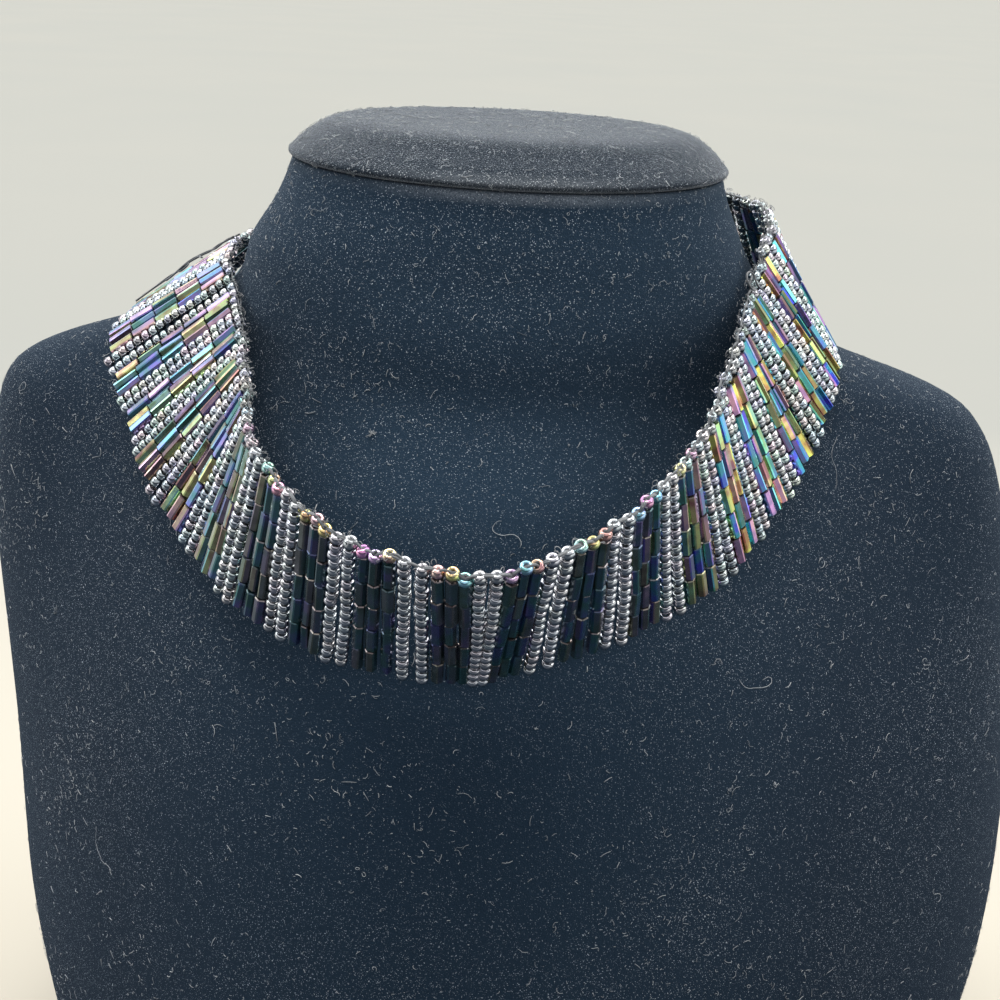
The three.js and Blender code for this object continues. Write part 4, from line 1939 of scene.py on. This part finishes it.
@dataclass(frozen=True)
class Sun:
    """A far soft light.

    Attributes:
        name: Its name.
        toward: The direction in which it hangs.
        spread: How wide it looks, in degrees.
        strength: Its strength, in watts per square metre.
        colour: Its colour.
    """

    name: str
    toward: tuple[float, float, float]
    spread: float
    strength: float
    colour: Colour

    def hang(self) -> None:
        """Adds the light to the scene."""
        data = bpy.data.lights.new(self.name, "SUN")
        data.angle = math.radians(self.spread)
        data.energy = self.strength
        data.color = self.colour
        light = bpy.data.objects.new(self.name, data)
        bpy.context.scene.collection.objects.link(light)
        light.rotation_mode = "QUATERNION"
        light.rotation_quaternion = Vector(self.toward).to_track_quat("Z", "Y")


SUNS = (
    Sun("key_light", (-0.25, 0.10, 1.0), 30.0, 1.4, (1.0, 0.98, 0.96)),
    Sun("left_light", (-1.0, -0.10, 0.50), 36.0, 0.80, (0.96, 0.99, 1.0)),
    Sun("right_light", (1.0, -0.05, 0.60), 36.0, 0.95, (1.0, 0.99, 0.97)),
)


@dataclass
class Studio:
    """A plain pale floor, soft light, and the camera.

    Attributes:
        ground: Height of the floor, in metres.
        floor_size: Width of the floor, in metres.
        floor_pale: One shade of the floor far off.
        floor_warm: The other.
        floor_painted_light: Its colour near the bust, paler and warmer: painted light where the bust's
            shade falls.
        floor_thrown: What it throws back near the bust and in front of it.
        floor_lit: What it throws back elsewhere.
        room_low: Colour of the room below and in front.
        room_side: Its colour at the sides and behind.
        room_front: Its colour ahead, above the floor.
        room_high: Its colour overhead.
        eye: Place of the camera, in metres.
        lens_mm: Focal length, on a sensor 36 mm wide.
        pitch: How far the camera looks down, in degrees.
        roll: How far it is rolled, in degrees.
        yaw: How far it is turned to the left, in degrees.
    """

    ground: float
    floor_size: float = 400.0
    floor_pale: Colour = (0.318, 0.323, 0.300)
    floor_warm: Colour = (0.343, 0.338, 0.308)
    floor_painted_light: Colour = (0.525, 0.490, 0.415)
    floor_thrown: Colour = (0.042, 0.052, 0.066)
    floor_lit: Colour = (0.58, 0.59, 0.58)
    room_low: Colour = (0.035, 0.04, 0.045)
    room_side: Colour = (0.62, 0.67, 0.70)
    room_front: Colour = (0.80, 0.80, 0.83)
    room_high: Colour = (2.30, 2.30, 2.28)
    eye: tuple[float, float, float] = (0.0132, -0.18895, 0.2169)
    lens_mm: float = 43.2
    pitch: float = 24.0
    roll: float = 3.0
    yaw: float = 4.0

    def build(self) -> None:
        """Builds the floor, the lights, the room and the camera."""
        self.floor()
        for sun in SUNS:
            sun.hang()
        self.room()
        self.camera()

    def floor(self) -> None:
        """A large pale floor, which throws back less light than it shows, and is painted paler near the
        bust: painted light where the bust's shade falls.
        """
        deselect()
        bpy.ops.mesh.primitive_plane_add(size=self.floor_size, location=(0.0, 0.0, self.ground))
        floor = bpy.context.object
        floor.name = "floor"
        material = bpy.data.materials.new("pale_floor")
        material.use_nodes = True
        sheet = NodeSheet(material.node_tree)
        place = sheet.add("TexCoord").outputs["Object"]
        parts = sheet.add("SeparateXYZ", Vector=place).outputs
        away = sheet.math("LENGTH", place, kind="VectorMath")
        shown = sheet.mix(sheet.noise(place, 3.0, 2.0), self.floor_pale, self.floor_warm)
        # Painted light: the floor is painted paler and warmer near the bust, where its shade falls.
        shown = sheet.mix(sheet.spread(away, 0.12, 0.50, 1.0, 0.0), shown, self.floor_painted_light)
        behind = sheet.math("MULTIPLY_ADD", parts["X"], 0.25, parts["Y"])
        behind = sheet.math("MULTIPLY_ADD", sheet.math("ABSOLUTE", parts["X"]), 0.65, behind)
        lit = sheet.math("MULTIPLY", sheet.spread(away, 0.14, 0.55), sheet.spread(behind, -0.25, 0.02))
        thrown = sheet.mix(lit, self.floor_thrown, self.floor_lit)
        seen = sheet.add("LightPath").outputs["Is Camera Ray"]
        sheet.fill(material.node_tree.nodes["Principled BSDF"], Base_Color=sheet.mix(seen, thrown, shown),
                   Roughness=0.9, Specular_IOR_Level=0.0)
        floor.data.materials.append(material)
        floor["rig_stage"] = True

    def room(self) -> None:
        """A room that is bright overhead, pale at the sides and behind, and dim below in front."""
        world = bpy.data.worlds.new("pale_room")
        world.use_nodes = True
        sheet = NodeSheet(world.node_tree)
        parts = sheet.add("SeparateXYZ", Vector=sheet.add("TexCoord").outputs["Generated"]).outputs
        beside = sheet.spread(parts["Y"], -0.25, 0.30, way="SMOOTHSTEP")
        lean = sheet.math("MULTIPLY_ADD", parts["Y"], 0.7, parts["Z"])
        overhead = sheet.spread(lean, 0.55, 0.95, way="SMOOTHSTEP")
        ahead = sheet.math("MULTIPLY", sheet.spread(parts["Y"], -0.55, -0.25, 1.0, 0.0),
                           sheet.spread(parts["Z"], 0.14, 0.28))
        colour = sheet.mix(beside, self.room_low, self.room_side)
        colour = sheet.mix(ahead, colour, self.room_front)
        colour = sheet.mix(overhead, colour, self.room_high)
        sheet.fill(world.node_tree.nodes["Background"], Color=colour)
        bpy.context.scene.world = world
        bpy.context.scene.view_settings.view_transform = "Standard"

    def camera(self) -> None:
        """The camera, a little above the neck and close in front."""
        data = bpy.data.cameras.new("camera")
        data.sensor_width = 36.0
        data.lens = self.lens_mm
        data.clip_start = 0.01
        data.clip_end = 100.0
        camera = bpy.data.objects.new("camera", data)
        bpy.context.scene.collection.objects.link(camera)
        camera.location = Vector(self.eye)
        pitch, roll, yaw = (math.radians(angle) for angle in (self.pitch, self.roll, self.yaw))
        ahead = Vector((0.0, math.cos(pitch), -math.sin(pitch)))
        over = Vector((0.0, math.sin(pitch), math.cos(pitch)))
        side = Vector((1.0, 0.0, 0.0))
        right = side * math.cos(roll) + over * math.sin(roll)
        top = -side * math.sin(roll) + over * math.cos(roll)
        turn = Matrix.Rotation(yaw, 3, "Z")
        axes = Matrix([turn @ right, turn @ top, turn @ -ahead]).transposed()
        camera.rotation_mode = "QUATERNION"
        camera.rotation_quaternion = axes.to_quaternion()
        bpy.context.scene.camera = camera


def corners() -> list[list[float]]:
    """The shown model's box as plain lists."""
    return [list(map(float, corner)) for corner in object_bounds()]


def main() -> None:
    """Builds every piece in order."""
    logging.basicConfig(level=logging.INFO, format="%(name)s %(message)s")
    cad = corners()
    Studio(ground=cad[0][2]).build()
    cap_low, cap_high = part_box("neck_cap")
    middle = (cap_low + cap_high) / 2
    weave = Weave(np.array([middle.x, middle.y, 0.0]))
    grain = grain_group()
    band = Band(weave, grain)
    band.build()
    EdgeThread(band, grain).build()
    Clasp(weave, grain).build()
    VelvetBust(grain).build()


if __name__ == "__main__":
    main()
